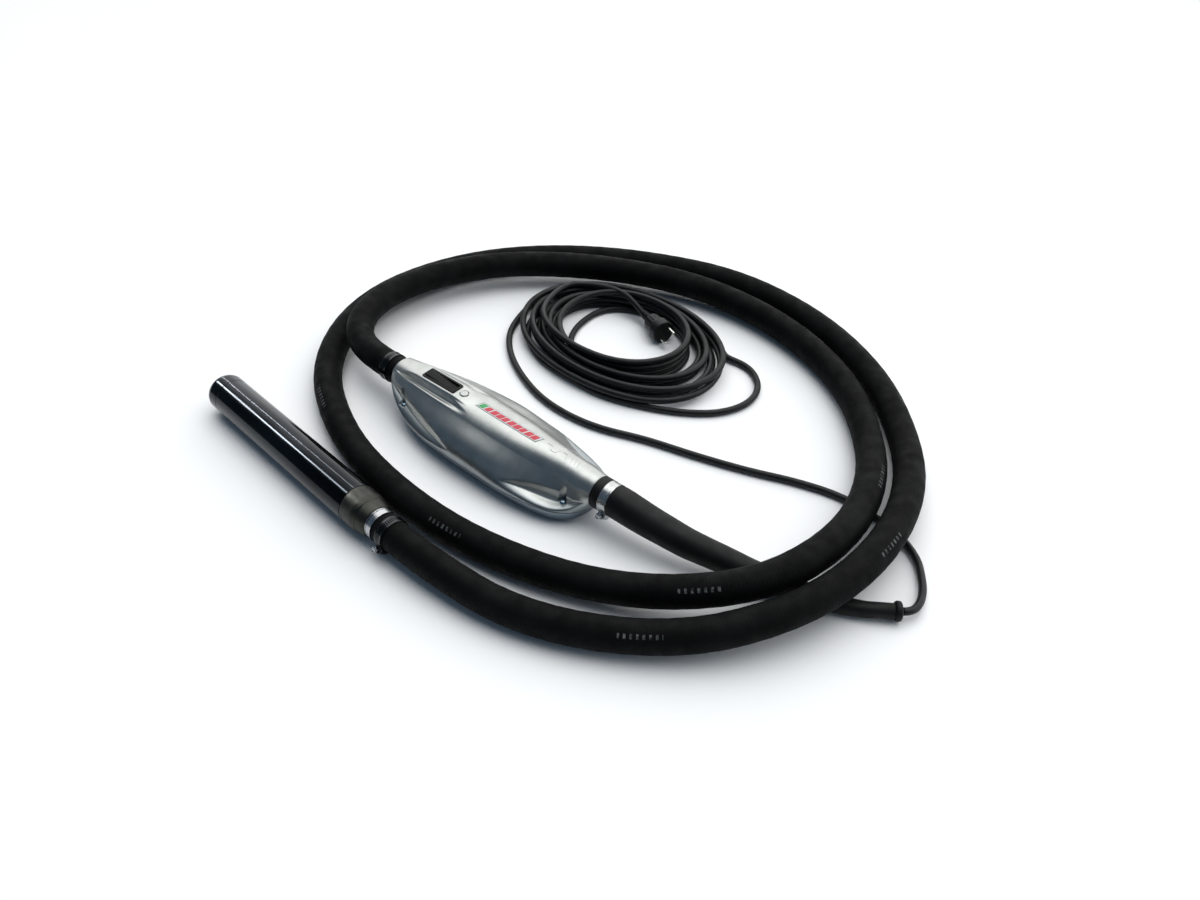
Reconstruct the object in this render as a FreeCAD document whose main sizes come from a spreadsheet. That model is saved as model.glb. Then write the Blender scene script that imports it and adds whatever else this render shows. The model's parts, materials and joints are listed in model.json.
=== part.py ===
import FreeCAD, Part
import math
import os
import Sketcher
from FreeCAD import Rotation, Vector

# Internal concrete vibrator with a converter in the hose.
# The converter stands on the floor with its long axis along X, the hose neck at -X and the mains
# neck at +X. The origin is on the floor under the converter, and Z points up.
# Lengths are millimetres and angles are degrees.

SIZES = {
    # hose, lead and cable
    "hose_radius": 20.0,
    "hose_bore": 14.0,
    "lead_radius": 5.0,
    "cable_radius": 4.75,
    "fit_gap": 0.05,
    # vibrating head, whose stations run from the nose towards the hose
    "head_nose_x": -356.84,
    "head_nose_y": -169.34,
    "head_yaw": -4.5,
    "head_radius": 26.5,
    "tube_bore": 21.5,
    "spigot_radius": 21.45,
    "cap_length": 30.0,
    "cap_corner": 12.0,
    "spigot_length": 12.0,
    "tube_end": 323.0,
    "adaptor_radius": 26.2,
    "adaptor_length": 44.0,
    "adaptor_straight": 20.0,
    "adaptor_end_radius": 21.7,
    "adaptor_spigot": 20.0,
    "socket_depth": 12.0,
    "socket_radius": 12.05,
    "seal_wire": 1.3,
    "seal_ring": 20.15,
    "seal_floor": 18.8,
    "seal_groove": 3.4,
    # hose tails
    "flange_length": 11.0,
    "flange_radius": 20.8,
    "nipple_radius": 13.9,
    "nipple_bore": 8.0,
    "barb_depth": 0.8,
    "barb_pitch": 9.0,
    "head_tail": 36.0,
    "front_tail": 30.0,
    "rear_tail": 24.0,
    # roller bearings of the head
    "bearing_width": 14.0,
    "front_bearing": 46.0,
    "rear_bearing": 272.0,
    "outer_ring_bore": 18.5,
    "inner_ring_radius": 12.5,
    "roller_radius": 2.95,
    "roller_pitch": 15.5,
    "roller_length": 10.0,
    "roller_count": 12,
    "cage_bore": 14.3,
    "cage_radius": 16.7,
    "pocket_gap": 0.1,
    # shaft, eccentric weight and motor of the head
    "shaft_radius": 9.5,
    "shaft_start": 44.0,
    "shaft_length": 244.0,
    "weight_start": 66.0,
    "weight_length": 104.0,
    "weight_radius": 20.3,
    "weight_hub": 12.8,
    "motor_start": 190.0,
    "core_length": 60.0,
    "rotor_radius": 14.8,
    "stator_bore": 15.3,
    "slot_radius": 2.0,
    "slot_ring": 18.0,
    "slot_count": 6,
    "wire_radius": 1.9,
    "end_turn_gap": 1.0,
    "end_turn_length": 9.0,
    "end_turn_bore": 15.9,
    "end_turn_radius": 20.6,
    "guard_length": 9.0,
    "guard_side": 4.0,
    "plate_start": 291.0,
    "plate_length": 8.0,
    # hose clamps
    "band_thickness": 0.8,
    "band_width": 12.0,
    "housing_width": 12.0,
    "housing_length": 15.0,
    "housing_height": 7.0,
    "worm_radius": 2.6,
    "worm_start": 9.5,
    "worm_length": 18.5,
    "worm_head_radius": 3.5,
    "worm_head_length": 4.0,
    "head_clamp": 393.0,
    "front_clamp": -189.5,
    "rear_clamp": 206.2,
    # converter
    "front_neck": -168.0,
    "front_neck_height": 48.0,
    "rear_neck": 187.0,
    "rear_neck_height": 44.0,
    "shell_wall": 4.5,
    "end_wall": 7.0,
    "parting_height": 22.0,
    "seal_thickness": 1.0,
    "washer_radius": 16.0,
    "washer_thickness": 1.0,
    "nut_radius": 16.5,
    "nut_length": 4.0,
    "screw_radius": 2.4,
    "screw_foot": 10.5,
    "screw_head_radius": 4.2,
    "screw_head_height": 3.5,
    "scoop_radius": 5.6,
    "pillar_radius": 6.5,
    # switch
    "switch_x": -85.0,
    "switch_length": 60.0,
    "switch_width": 20.0,
    "switch_top": 77.6,
    "bezel_height": 7.6,
    "pad_length": 67.0,
    "pad_width": 27.0,
    "pad_top": 77.0,
    "rocker_half": 26.0,
    "rocker_width": 13.0,
    "rocker_under": 2.1,
    "rocker_over": 2.5,
    "rocker_tilt": 5.0,
    "rocker_room": 0.6,
    "pin_height": 74.5,
    "pin_radius": 1.5,
    "switch_body_height": 12.0,
    "boss_x": -44.0,
    "boss_radius": 5.5,
    "boss_foot": 66.0,
    "boss_top": 78.2,
    "trim_start": -17.0,
    "trim_length": 109.0,
    "trim_width": 13.0,
    "trim_thickness": 1.2,
    "rib_start": 102.0,
    "rib_pitch": 11.0,
    "rib_count": 5,
    "rib_thickness": 1.0,
    # electronics
    "board_start": -75.0,
    "board_length": 190.0,
    "board_width": 56.0,
    "board_thickness": 1.6,
    "board_height": 15.0,
    "post_radius": 3.0,
    "post_offset": 23.0,
    "floor_height": 4.5,
    "module_start": -35.0,
    "module_length": 50.0,
    "module_width": 32.0,
    "heat_pad": 1.0,
    "capacitor_radius": 11.0,
    "capacitor_length": 32.0,
    "capacitor_start": -20.0,
    "capacitor_pitch": 25.0,
    "choke_x": 62.0,
    "choke_ring": 11.0,
    "choke_wire": 5.0,
    "choke_base": 12.0,
    "terminal_start": 90.0,
    "terminal_length": 16.0,
    "terminal_width": 38.0,
    "terminal_height": 14.0,
    # handle sleeve
    "collar_length": 13.0,
    "collar_radius": 21.0,
    "groove_end": 212.3,
    "groove_radius": 20.0,
    "sleeve_end_bore": 6.4,
    "grommet_radius": 11.8,
    "grommet_length": 9.0,
    # cable coil
    "coil_x": -22.0,
    "coil_y": 296.0,
    "coil_length": 182.0,
    "coil_width": 121.0,
    "coil_hole_x": -21.0,
    "coil_hole_y": 304.0,
    "coil_hole_length": 98.0,
    "coil_hole_width": 74.0,
    "coil_foot": 0.2,
    "coil_height": 38.0,
    "coil_round": 9.0,
    # plug
    "plug_x": -36.0,
    "plug_y": 366.0,
    "plug_z": 18.6,
    "plug_yaw": -20.9,
    "plug_roll": 50.0,
    "relief_radius": 6.2,
    "relief_end_radius": 8.0,
    "relief_length": 22.0,
    "grip_radius": 13.5,
    "grip_end": 44.0,
    "grip_end_radius": 14.5,
    "plug_radius": 18.2,
    "plug_length": 62.0,
    "insert_radius": 15.8,
    "insert_length": 12.0,
    "prong_radius": 2.4,
    "prong_length": 19.0,
    "prong_root": 6.0,
    "prong_root_radius": 2.0,
    "prong_offset": 9.5,
    "earth_width": 4.0,
    "earth_length": 14.0,
    "earth_thickness": 1.0,
}

# Centre line of the protective hose, from the vibrating head round two loops to the converter.
HOSE_ROUTE = [
    (20, -199, 26.5), (90, -204.5, 26.5), (240, -191, 20.3), (386, -112, 27), (470, -8, 46), (496, 108, 46),
    (480, 232, 32.5), (430, 338, 20.5), (322, 450, 20.3), (180, 517, 20.3), (20, 533, 20.3), (-132, 480, 20.3),
    (-265, 392, 20.3), (-360, 265, 20.3), (-386, 105, 20.3), (-308, -38, 20.3), (-165, -120, 20.3),
    (-10, -150, 20.3), (145, -143, 20.3), (294, -97, 25), (411, -20, 49.5), (450, 83, 49.5), (441, 203, 33),
    (393, 310, 21), (288, 418, 20.3), (140, 476, 22), (-15, 473, 27.5), (-158, 411, 32), (-274, 318, 36.5),
    (-329, 220, 41), (-342, 137, 45.5), (-332, 78, 48), (-307, 36, 48.5), (-270, 9, 48), (-219, 0, 48),
    (-168, 0, 48),
]

# Centre line of the mains cable, from the handle sleeve under both hose loops into the coil.
CABLE_ROUTE = [
    (547.08, 97.36, 12.1), (555.17, 103.24, 12.1), (556.5, 122, 10.2), (549.5, 143.5, 8.4), (537.5, 163.5, 7),
    (522.5, 184.5, 5.8), (496, 203, 5.1), (458, 215.5, 5), (402, 222, 5), (343, 208, 5), (283, 184, 5),
    (213, 163.5, 5), (143, 147, 5), (83, 124, 5), (30, 117, 5), (-25, 121, 5), (-80, 140, 5), (-130, 167, 5),
    (-170, 205, 5), (-190, 250, 5),
]

# Centre line of the loose turn that stands out of the coil.
LOOSE_TURN = [
    (118, 368, 8), (160, 372, 5), (196, 344, 5), (207, 303, 5), (190, 259, 5), (150, 225, 5), (95, 198, 5),
    (35, 180, 5), (-20, 184, 6),
]

# Centre line of the cable end, from the top of the coil to the plug.
TAIL_ROUTE = [(-168, 330, 31), (-134, 357, 38.5), (-100, 369, 38.5), (-72, 371, 32), (-53, 369.5, 23),
              (-36, 366, 18.6)]

# Centre line of the handle sleeve behind its clamp, with the sleeve's outer radius at each point.
SLEEVE_ROUTE = [
    (212.3, 0, 44, 20.9), (223, 0, 44, 21), (242, 0.7, 42.3, 20.6), (262, 2.2, 39.8, 19.9),
    (286, 5.2, 36.5, 19.1), (310, 9, 32.5, 18.3), (335, 15.6, 28.2, 17.4), (360, 23, 23.8, 16.5),
    (385, 30.3, 19, 15.6), (410, 38, 15.3, 14.8), (436, 45.6, 13.9, 13.6), (464, 53.5, 12.5, 12.1),
    (490, 62, 11.4, 10.8), (512, 73, 11.4, 9.8), (530.9, 85.6, 12.1, 9.4), (539.8, 92.07, 12.1, 9.3),
]
WIDE_BORE_POINTS = 3
NARROW_BORE_POINTS = 9

# Half sections of the converter body: x, then y and z of the spine, the rounding beside it, the crease,
# the shoulder, the widest point and the chine, and last the height of the flat bottom.
HULL = [
    (-168, [(0, 71), (10, 69), (17, 64), (22, 54), (23, 46), (18, 34)], 25.5),
    (-150, [(0, 73), (12, 71), (20, 64), (30, 53), (35, 40), (30, 20)], 12),
    (-115, [(0, 76), (14, 74), (25, 65), (42, 50), (49, 33), (44, 10)], 3),
    (-60, [(0, 76), (15, 74), (28, 66), (50, 50), (60, 32), (53, 8)], 0),
    (0, [(0, 73), (15, 71), (29, 64), (53, 50), (63, 31), (55, 7)], 0),
    (60, [(0, 71), (15, 69), (28, 61), (50, 46), (63, 28), (55, 6)], 0),
    (110, [(0, 70), (14, 67), (25, 57), (41, 42), (58, 26), (53, 6)], 0),
    (145, [(0, 69), (12, 66), (23, 54), (33, 39), (50, 24), (46, 6)], 0),
    (168, [(0, 67.5), (12, 64.5), (22, 54), (27.5, 41), (37, 25), (33, 9)], 4),
    (180, [(0, 66.5), (11.5, 63.5), (20, 54), (23, 43), (24, 31), (19, 19)], 14),
    (187, [(0, 65.5), (11, 62.5), (18.6, 54.8), (21.5, 44), (18.6, 33), (11, 25.5)], 24),
]
BOTTOM_SHARE = 0.72

# Places of the shell screws, with the height of each head's seat, and of the board posts.
SHELL_SCREWS = [(-130.5, -34.5, 33), (-130.5, 34.5, 33), (154.5, -30.5, 27.5), (154.5, 30.5, 27.5)]
POST_STATIONS = (-52, 22, 80)

doc = FreeCAD.newDocument("ConcreteVibrator")
sheet = doc.addObject("Spreadsheet::Sheet", "Sizes")
PARTS = []


def fill_sheet():
    for row, (name, size) in enumerate(SIZES.items(), start=1):
        sheet.set("A%d" % row, name)
        sheet.set("B%d" % row, str(size))
        sheet.setAlias("B%d" % row, name)
    doc.recompute()


def cells(rule):
    """A rule such as 'tube_end - 4' as an expression on the sheet."""
    return " ".join("Sizes." + word if word in SIZES else word for word in rule.split())


def size(rule):
    return float(sheet.evalExpression(cells(rule)))


def bind(item, **rules):
    for name, rule in rules.items():
        item.setExpression(name.replace("__", "."), cells(rule))
    return item


def keep(item, node):
    """Names a finished sub-part and lists it for export."""
    item.Label = node
    PARTS.append((item, node))
    return item


def keep_shape(shape, node):
    item = doc.addObject("Part::Feature", node)
    item.Shape = shape
    return keep(item, node)


# Frames


def on_head(item):
    item.Placement.Rotation = Rotation(Vector(0, 0, 1), 1)
    bind(item, Placement__Base__x="head_nose_x", Placement__Base__y="head_nose_y")
    return bind(item, Placement__Base__z="head_radius", Placement__Rotation__Angle="head_yaw")


def on_front_neck(item):
    return bind(item, Placement__Base__z="front_neck_height")


def on_rear_neck(item):
    return bind(item, Placement__Base__z="rear_neck_height")


def on_plug(item):
    yaw = Rotation(Vector(0, 0, 1), size("plug_yaw"))
    item.Placement.Rotation = yaw.multiply(Rotation(Vector(1, 0, 0), size("plug_roll")))
    return bind(item, Placement__Base__x="plug_x", Placement__Base__y="plug_y", Placement__Base__z="plug_z")


# Plain pieces; a rod, a ring and a seal lie along X


def rod(name, radius, length, start, y="0", z="0"):
    item = doc.addObject("Part::Cylinder", name)
    item.Placement.Rotation = Rotation(Vector(0, 1, 0), 90)
    bind(item, Radius=radius, Height=length)
    return bind(item, Placement__Base__x=start, Placement__Base__y=y, Placement__Base__z=z)


def cross_rod(name, radius, length, x, start, z):
    item = doc.addObject("Part::Cylinder", name)
    item.Placement.Rotation = Rotation(Vector(1, 0, 0), -90)
    bind(item, Radius=radius, Height=length)
    return bind(item, Placement__Base__x=x, Placement__Base__y=start, Placement__Base__z=z)


def post(name, radius, height, x, y, z):
    item = doc.addObject("Part::Cylinder", name)
    bind(item, Radius=radius, Height=height)
    return bind(item, Placement__Base__x=x, Placement__Base__y=y, Placement__Base__z=z)


def block(name, length, width, height, x, y, z):
    item = doc.addObject("Part::Box", name)
    bind(item, Length=length, Width=width, Height=height)
    return bind(item, Placement__Base__x=x, Placement__Base__y=y, Placement__Base__z=z)


def join(name, pieces):
    item = doc.addObject("Part::MultiFuse", name)
    item.Shapes = pieces
    return item


def group(name, pieces):
    item = doc.addObject("Part::Compound", name)
    item.Links = pieces
    return item


def cut(name, base, tool):
    item = doc.addObject("Part::Cut", name)
    item.Base = base
    item.Tool = tool
    return item


def ring(name, radius, bore, length, start):
    outer = rod(name + "Outer", radius, length, start)
    inner = rod(name + "Inner", bore, length + " + 2", start + " - 1")
    return cut(name, outer, inner)


def seal_ring(name, station):
    item = doc.addObject("Part::Torus", name)
    item.Placement.Rotation = Rotation(Vector(0, 1, 0), 90)
    return bind(item, Radius1="seal_ring", Radius2="seal_wire", Placement__Base__x=station)


# Sketched bodies


def attached_sketch(body, name, role):
    sketch = body.newObject("Sketcher::SketchObject", name)
    plane = [item for item in body.Origin.OriginFeatures if item.Role == role][0]
    sketch.AttachmentSupport = [(plane, "")]
    sketch.MapMode = "FlatFace"
    return sketch


def pin_point(sketch, curve, point, across, up):
    """Ties one sketched point to the sheet."""
    for kind, rule in (("DistanceX", across), ("DistanceY", up)):
        row = sketch.addConstraint(Sketcher.Constraint(kind, -1, 1, curve, point, size(rule)))
        sketch.setExpression("Constraints[%d]" % row, cells(rule))


def draw_outline(sketch, corners):
    places = [Vector(size(across), size(up), 0) for across, up in corners]
    count = len(places)
    for index in range(count):
        sketch.addGeometry(Part.LineSegment(places[index], places[(index + 1) % count]), False)
    for index in range(count):
        sketch.addConstraint(Sketcher.Constraint("Coincident", index, 2, (index + 1) % count, 1))
    for index, (across, up) in enumerate(corners):
        pin_point(sketch, index, 1, across, up)


def turned(name, corners):
    """A body of revolution about X, from stations and radii."""
    body = doc.addObject("PartDesign::Body", name)
    sketch = attached_sketch(body, name + "Outline", "XZ_Plane")
    draw_outline(sketch, corners)
    feature = body.newObject("PartDesign::Revolution", name + "Turn")
    feature.Profile = sketch
    feature.ReferenceAxis = (sketch, ["H_Axis"])
    feature.Angle = 360
    return body


def padded(name, role, corners, height, both_ways=False):
    body = doc.addObject("PartDesign::Body", name)
    sketch = attached_sketch(body, name + "Outline", role)
    draw_outline(sketch, corners)
    feature = body.newObject("PartDesign::Pad", name + "Pad")
    feature.Profile = sketch
    feature.Midplane = both_ways
    bind(feature, Length=height)
    return body


def holes(body, name, role, spots, radius, depth):
    """Round pockets, cut both ways from an origin plane."""
    sketch = attached_sketch(body, name + "Circles", role)
    for index, (across, up) in enumerate(spots):
        sketch.addGeometry(Part.Circle(Vector(size(across), size(up), 0), Vector(0, 0, 1), size(radius)), False)
        pin_point(sketch, index, 3, across, up)
        row = sketch.addConstraint(Sketcher.Constraint("Radius", index, size(radius)))
        sketch.setExpression("Constraints[%d]" % row, cells(radius))
    pocket_from(body, name, sketch, depth)


def pocket_from(body, name, sketch, depth):
    feature = body.newObject("PartDesign::Pocket", name)
    feature.Profile = sketch
    feature.Midplane = True
    bind(feature, Length=depth)


def rectangle(start_x, end_x, start_y, end_y):
    return [(start_x, start_y), (end_x, start_y), (end_x, end_y), (start_x, end_y)]


# Flexible pieces


def rounded_route(points):
    """Straight runs joined by tangent arcs, each as large as its two runs allow."""
    corners = [Vector(*point) for point in points]
    edges = []
    radii = []
    start = corners[0]
    for before, corner, after in zip(corners, corners[1:], corners[2:]):
        inward = (corner - before).normalize()
        outward = (after - corner).normalize()
        half_turn = inward.getAngle(outward) / 2
        cut_back = 0.45 * min((corner - before).Length, (after - corner).Length)
        radius = cut_back / math.tan(half_turn)
        first = corner - inward * cut_back
        last = corner + outward * cut_back
        middle = corner + (outward - inward).normalize() * (radius / math.cos(half_turn) - radius)
        edges.append(Part.LineSegment(start, first).toShape())
        edges.append(Part.Arc(first, middle, last).toShape())
        radii.append(round(radius))
        start = last
    edges.append(Part.LineSegment(start, corners[-1]).toShape())
    return Part.Wire(edges), radii


def round_sweep(wire, points, radius):
    way = Vector(*points[1]) - Vector(*points[0])
    circle = Part.Wire([Part.Circle(Vector(*points[0]), way, radius).toShape()])
    return wire.makePipeShell([circle], True, False)


def tube_along(name, points, radius, bore=0):
    """A round tube on a route, with its length, its fullness and its bend radii printed."""
    wire, radii = rounded_route(points)
    solid = round_sweep(wire, points, radius)
    if bore:
        solid = solid.cut(round_sweep(wire, points, bore))
    section = math.pi * (radius ** 2 - bore ** 2)
    fullness = solid.Volume / (section * wire.Length)
    print("%s: length %.0f, fullness %.4f, bend radii %s" % (name, wire.Length, fullness, radii))
    return solid


# Vibrating head


def nose_cap():
    groove = "cap_length + 4"
    body = turned("NoseCap", [
        ("0", "0"), ("0", "head_radius"), ("cap_length", "head_radius"), ("cap_length", "spigot_radius"),
        (groove, "spigot_radius"), (groove, "seal_floor"), (groove + " + seal_groove", "seal_floor"),
        (groove + " + seal_groove", "spigot_radius"), ("cap_length + spigot_length", "spigot_radius"),
        ("cap_length + spigot_length", "0")])
    doc.recompute()
    round_nose(body)
    keep(on_head(body), "nose_cap")
    seal = seal_ring("NoseSealRing", groove + " + seal_groove / 2")
    keep(on_head(group("NoseSeal", [seal])), "nose_seal")


def round_nose(body):
    turn = body.Tip
    rim = size("head_radius")
    names = []
    for index, edge in enumerate(turn.Shape.Edges, start=1):
        box = edge.BoundBox
        if box.XMax < 0.01 and abs(box.YMax - rim) < 0.01:
            names.append("Edge%d" % index)
    feature = body.newObject("PartDesign::Fillet", "NoseRound")
    feature.Base = (turn, names)
    bind(feature, Radius="cap_corner")


def head_tube():
    tube = ring("HeadTube", "head_radius", "tube_bore", "tube_end - cap_length", "cap_length")
    keep(on_head(tube), "head_tube")


def head_adaptor():
    foot = "tube_end - adaptor_spigot"
    groove = "tube_end - 12"
    end = "tube_end + adaptor_length"
    body = turned("HeadAdaptor", [
        (foot, "nipple_bore"), (foot, "spigot_radius"), (groove, "spigot_radius"), (groove, "seal_floor"),
        (groove + " + seal_groove", "seal_floor"), (groove + " + seal_groove", "spigot_radius"),
        ("tube_end", "spigot_radius"), ("tube_end", "adaptor_radius"),
        ("tube_end + adaptor_straight", "adaptor_radius"), (end, "adaptor_end_radius"), (end, "socket_radius"),
        (end + " - socket_depth", "socket_radius"), (end + " - socket_depth", "nipple_bore")])
    keep(on_head(body), "head_adaptor")
    seal = seal_ring("AdaptorSealRing", groove + " + seal_groove / 2")
    keep(on_head(group("AdaptorSeal", [seal])), "adaptor_seal")


def barbs(start, sign, count, tail):
    """Outline of a barbed hose tail from its root to its tip, ending at the bore."""
    low = "nipple_radius - barb_depth"
    corners = [(start, low)]
    for index in range(count):
        root = "%s %s 5 %s barb_pitch * %d" % (start, sign, sign, index)
        crest = "%s %s 10 %s barb_pitch * %d" % (start, sign, sign, index)
        corners += [(root, low), (root, "nipple_radius"), (crest, "nipple_radius"), (crest, low)]
    end = "%s %s %s" % (start, sign, tail)
    return corners + [(end, low), (end, "nipple_bore")]


def head_nipple():
    end = "tube_end + adaptor_length"
    socket = end + " - socket_depth"
    body = turned("HeadNipple", [
        (socket, "nipple_bore"), (socket, "socket_radius - fit_gap"), (end, "socket_radius - fit_gap"),
        (end, "flange_radius"), (end + " + flange_length", "flange_radius")]
        + barbs(end + " + flange_length", "+", 3, "head_tail"))
    keep(on_head(body), "hose_nipple_head")


def bearing(name, node, station):
    outer = ring(name + "OuterRing", "spigot_radius", "outer_ring_bore", "bearing_width", station)
    inner = ring(name + "InnerRing", "inner_ring_radius", "shaft_radius + fit_gap", "bearing_width", station)
    rollers = []
    pockets = []
    for index in range(int(size("roller_count"))):
        turn = 2 * math.pi * index / size("roller_count")
        across = "roller_pitch * %.6f" % math.cos(turn)
        up = "roller_pitch * %.6f" % math.sin(turn)
        start = station + " + bearing_width / 2 - roller_length / 2"
        rollers.append(rod(name + "Roller%d" % index, "roller_radius", "roller_length", start, across, up))
        pockets.append(rod(name + "Pocket%d" % index, "roller_radius + pocket_gap",
                           "roller_length + pocket_gap * 2", start + " - pocket_gap", across, up))
    band = ring(name + "CageBand", "cage_radius", "cage_bore", "bearing_width - 1", station + " + 0.5")
    keep(on_head(outer), node + "_outer_ring")
    keep(on_head(inner), node + "_inner_ring")
    keep(on_head(group(name + "Rollers", rollers)), node + "_rollers")
    keep(on_head(cut(name + "Cage", band, join(name + "Pockets", pockets))), node + "_cage")


def rotor():
    shaft = rod("ShaftRod", "shaft_radius", "shaft_length", "shaft_start")
    keep(on_head(group("RotorShaft", [shaft])), "rotor_shaft")
    disc = rod("WeightDisc", "weight_radius", "weight_length", "weight_start")
    upper_half = block("WeightUpperHalf", "weight_length + 2", "weight_radius * 2 + 2", "weight_radius + 1",
                       "weight_start - 1", "0 - weight_radius - 1", "0")
    hub = rod("WeightHub", "weight_hub", "weight_length", "weight_start")
    lump = join("WeightLump", [cut("WeightSector", disc, upper_half), hub])
    bore = rod("WeightBore", "shaft_radius + fit_gap", "weight_length + 2", "weight_start - 1")
    keep(on_head(cut("EccentricWeight", lump, bore)), "eccentric_weight")
    core = ring("RotorCore", "rotor_radius", "shaft_radius + fit_gap", "core_length", "motor_start")
    keep(on_head(core), "rotor_core")


def stator():
    outer = rod("StatorOuter", "spigot_radius", "core_length", "motor_start")
    waste = [rod("StatorBore", "stator_bore", "core_length + 2", "motor_start - 1")]
    bars = []
    for index in range(int(size("slot_count"))):
        turn = 2 * math.pi * index / size("slot_count")
        across = "slot_ring * %.6f" % math.cos(turn)
        up = "slot_ring * %.6f" % math.sin(turn)
        waste.append(rod("StatorSlot%d" % index, "slot_radius", "core_length + 2", "motor_start - 1", across, up))
        bars.append(rod("StatorBar%d" % index, "wire_radius", "core_length + end_turn_gap * 4",
                        "motor_start - end_turn_gap * 2", across, up))
    front = ring("FrontEndTurn", "end_turn_radius", "end_turn_bore", "end_turn_length",
                 "motor_start - end_turn_gap - end_turn_length")
    rear = ring("RearEndTurn", "end_turn_radius", "end_turn_bore", "end_turn_length",
                "motor_start + core_length + end_turn_gap")
    keep(on_head(cut("StatorCore", outer, join("StatorWaste", waste))), "stator_core")
    keep(on_head(join("StatorWindings", bars + [front, rear])), "stator_windings")


def head_electrics():
    guard = block("GuardBlock", "guard_length", "guard_side * 2", "guard_side",
                  "motor_start + core_length + end_turn_gap + end_turn_length", "0 - guard_side",
                  "end_turn_radius - guard_side")
    keep(on_head(group("ThermalGuard", [guard])), "thermal_protector")
    keep(on_head(ring("LeadPlate", "spigot_radius", "nipple_bore", "plate_length", "plate_start")), "lead_plate")


# Hose, lead and clamps


def hose():
    keep_shape(tube_along("main_hose", HOSE_ROUTE, size("hose_radius"), size("hose_bore")), "main_hose")
    keep_shape(tube_along("hose_lead", HOSE_ROUTE, size("lead_radius")), "hose_lead")


def rolled(item, frame, roll):
    """Places an item in its frame and turns it about the frame's X axis."""
    item.Placement.Rotation = Rotation(Vector(1, 0, 0), roll)
    if frame is on_head:
        yaw = Rotation(Vector(0, 0, 1), size("head_yaw"))
        item.Placement.Rotation = yaw.multiply(item.Placement.Rotation)
        bind(item, Placement__Base__x="head_nose_x", Placement__Base__y="head_nose_y")
        return bind(item, Placement__Base__z="head_radius")
    return frame(item)


def hose_clamp(place, frame, station, radius, roll):
    """Band, worm housing and worm screw of one clamp; returns the screw."""
    name = "Clamp" + place.capitalize()
    seat = radius + " + fit_gap + band_thickness"
    band = ring(name + "Band", seat, radius + " + fit_gap", "band_width", station + " - band_width / 2")
    keep(frame(band), "clamp_band_" + place)
    start = station + " - housing_width / 2"
    blank = block(name + "Blank", "housing_width", "housing_length", "housing_height + 2", start,
                  "0 - housing_length / 2", seat + " - 2")
    bed = rod(name + "Bed", seat + " + fit_gap", "housing_width + 2", start + " - 1")
    middle = seat + " + housing_height / 2"
    tunnel = cross_rod(name + "Tunnel", "worm_radius + fit_gap", "housing_length + 4", station,
                       "0 - housing_length / 2 - 2", middle)
    housing = cut(name + "Housing", blank, join(name + "Waste", [bed, tunnel]))
    keep(rolled(housing, frame, roll), "clamp_housing_" + place)
    worm = cross_rod(name + "Worm", "worm_radius", "worm_length", station, "0 - worm_start", middle)
    head = cross_rod(name + "WormHead", "worm_head_radius", "worm_head_length", station,
                     "worm_length - worm_start", middle)
    return rolled(join(name + "Screw", [worm, head]), frame, roll)


def clamps():
    screws = [
        hose_clamp("head", on_head, "head_clamp", "hose_radius", 132.0),
        hose_clamp("front", on_front_neck, "front_clamp", "hose_radius", 232.0),
        hose_clamp("rear", on_rear_neck, "rear_clamp", "groove_radius", 140.0)]
    keep(group("ClampScrews", screws), "clamp_screws")


# Converter shells


def hull_row(x):
    """Half section and bottom height at x, between the two listed sections around it."""
    for (x_a, points_a, foot_a), (x_b, points_b, foot_b) in zip(HULL, HULL[1:]):
        if x_a <= x <= x_b:
            share = (x - x_a) / (x_b - x_a)
            points = []
            for (y_a, z_a), (y_b, z_b) in zip(points_a, points_b):
                points.append((y_a + (y_b - y_a) * share, z_a + (z_b - z_a) * share))
            return points, foot_a + (foot_b - foot_a) * share


def section_wire(x, inset):
    """Closed section of the body at x, moved inwards by the inset."""
    points, foot = hull_row(x)
    middle = (points[0][1] + foot) / 2
    half = []
    for y, z in points:
        reach = math.hypot(y, z - middle)
        half.append((y * (1 - inset / reach), z + (middle - z) * inset / reach))
    half.append((BOTTOM_SHARE * points[-1][0] - inset, foot + inset))
    mirrored = [(-y, z) for y, z in reversed(half[1:])]
    corners = [Vector(x, y, z) for y, z in half + mirrored]
    return Part.makePolygon(corners + corners[:1])


def body_loft(stations, inset):
    wires = [section_wire(x, inset) for x in stations]
    return Part.makeLoft(wires, True, True)


def shell_spans():
    outer = [row[0] for row in HULL]
    front = size("front_neck + end_wall")
    rear = size("rear_neck - end_wall")
    inner = [front] + [x for x in outer if front < x < rear] + [rear]
    return outer, inner


def upright(x, y, foot, top, radius):
    return Part.makeCylinder(radius, top - foot, Vector(x, y, foot))


def centred_box(x_start, x_end, width, z_start, z_end):
    return Part.makeBox(x_end - x_start, width, z_end - z_start, Vector(x_start, -width / 2, z_start))


def fixings(hull):
    """Solid pillars with webs to the side walls, screw holes and scoops over the screw heads."""
    pillars = []
    bores = []
    scoops = []
    scoop = size("scoop_radius")
    for x, y, seat in SHELL_SCREWS:
        outer_y = y if y > 0 else y - 40
        web = Part.makeBox(2 * scoop, 40, seat, Vector(x - scoop, outer_y, 0))
        pillars.append(upright(x, y, 0, seat, size("pillar_radius")).fuse(web).common(hull))
        bores.append(upright(x, y, size("screw_foot"), 60, size("screw_radius + fit_gap")))
        scoops.append(upright(x, y, seat, 80, scoop))
        scoops.append(Part.makeBox(2 * scoop, 40, 50, Vector(x - scoop, outer_y, seat)))
    return pillars, bores, scoops


def switch_pad():
    start = size("switch_x - pad_length / 2")
    top = size("pad_top")
    pad = centred_box(start, start + size("pad_length"), size("pad_width"), 66, top)
    corners = [edge for edge in pad.Edges if edge.BoundBox.ZLength > 5]
    return pad.makeFillet(5, corners)


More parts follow.
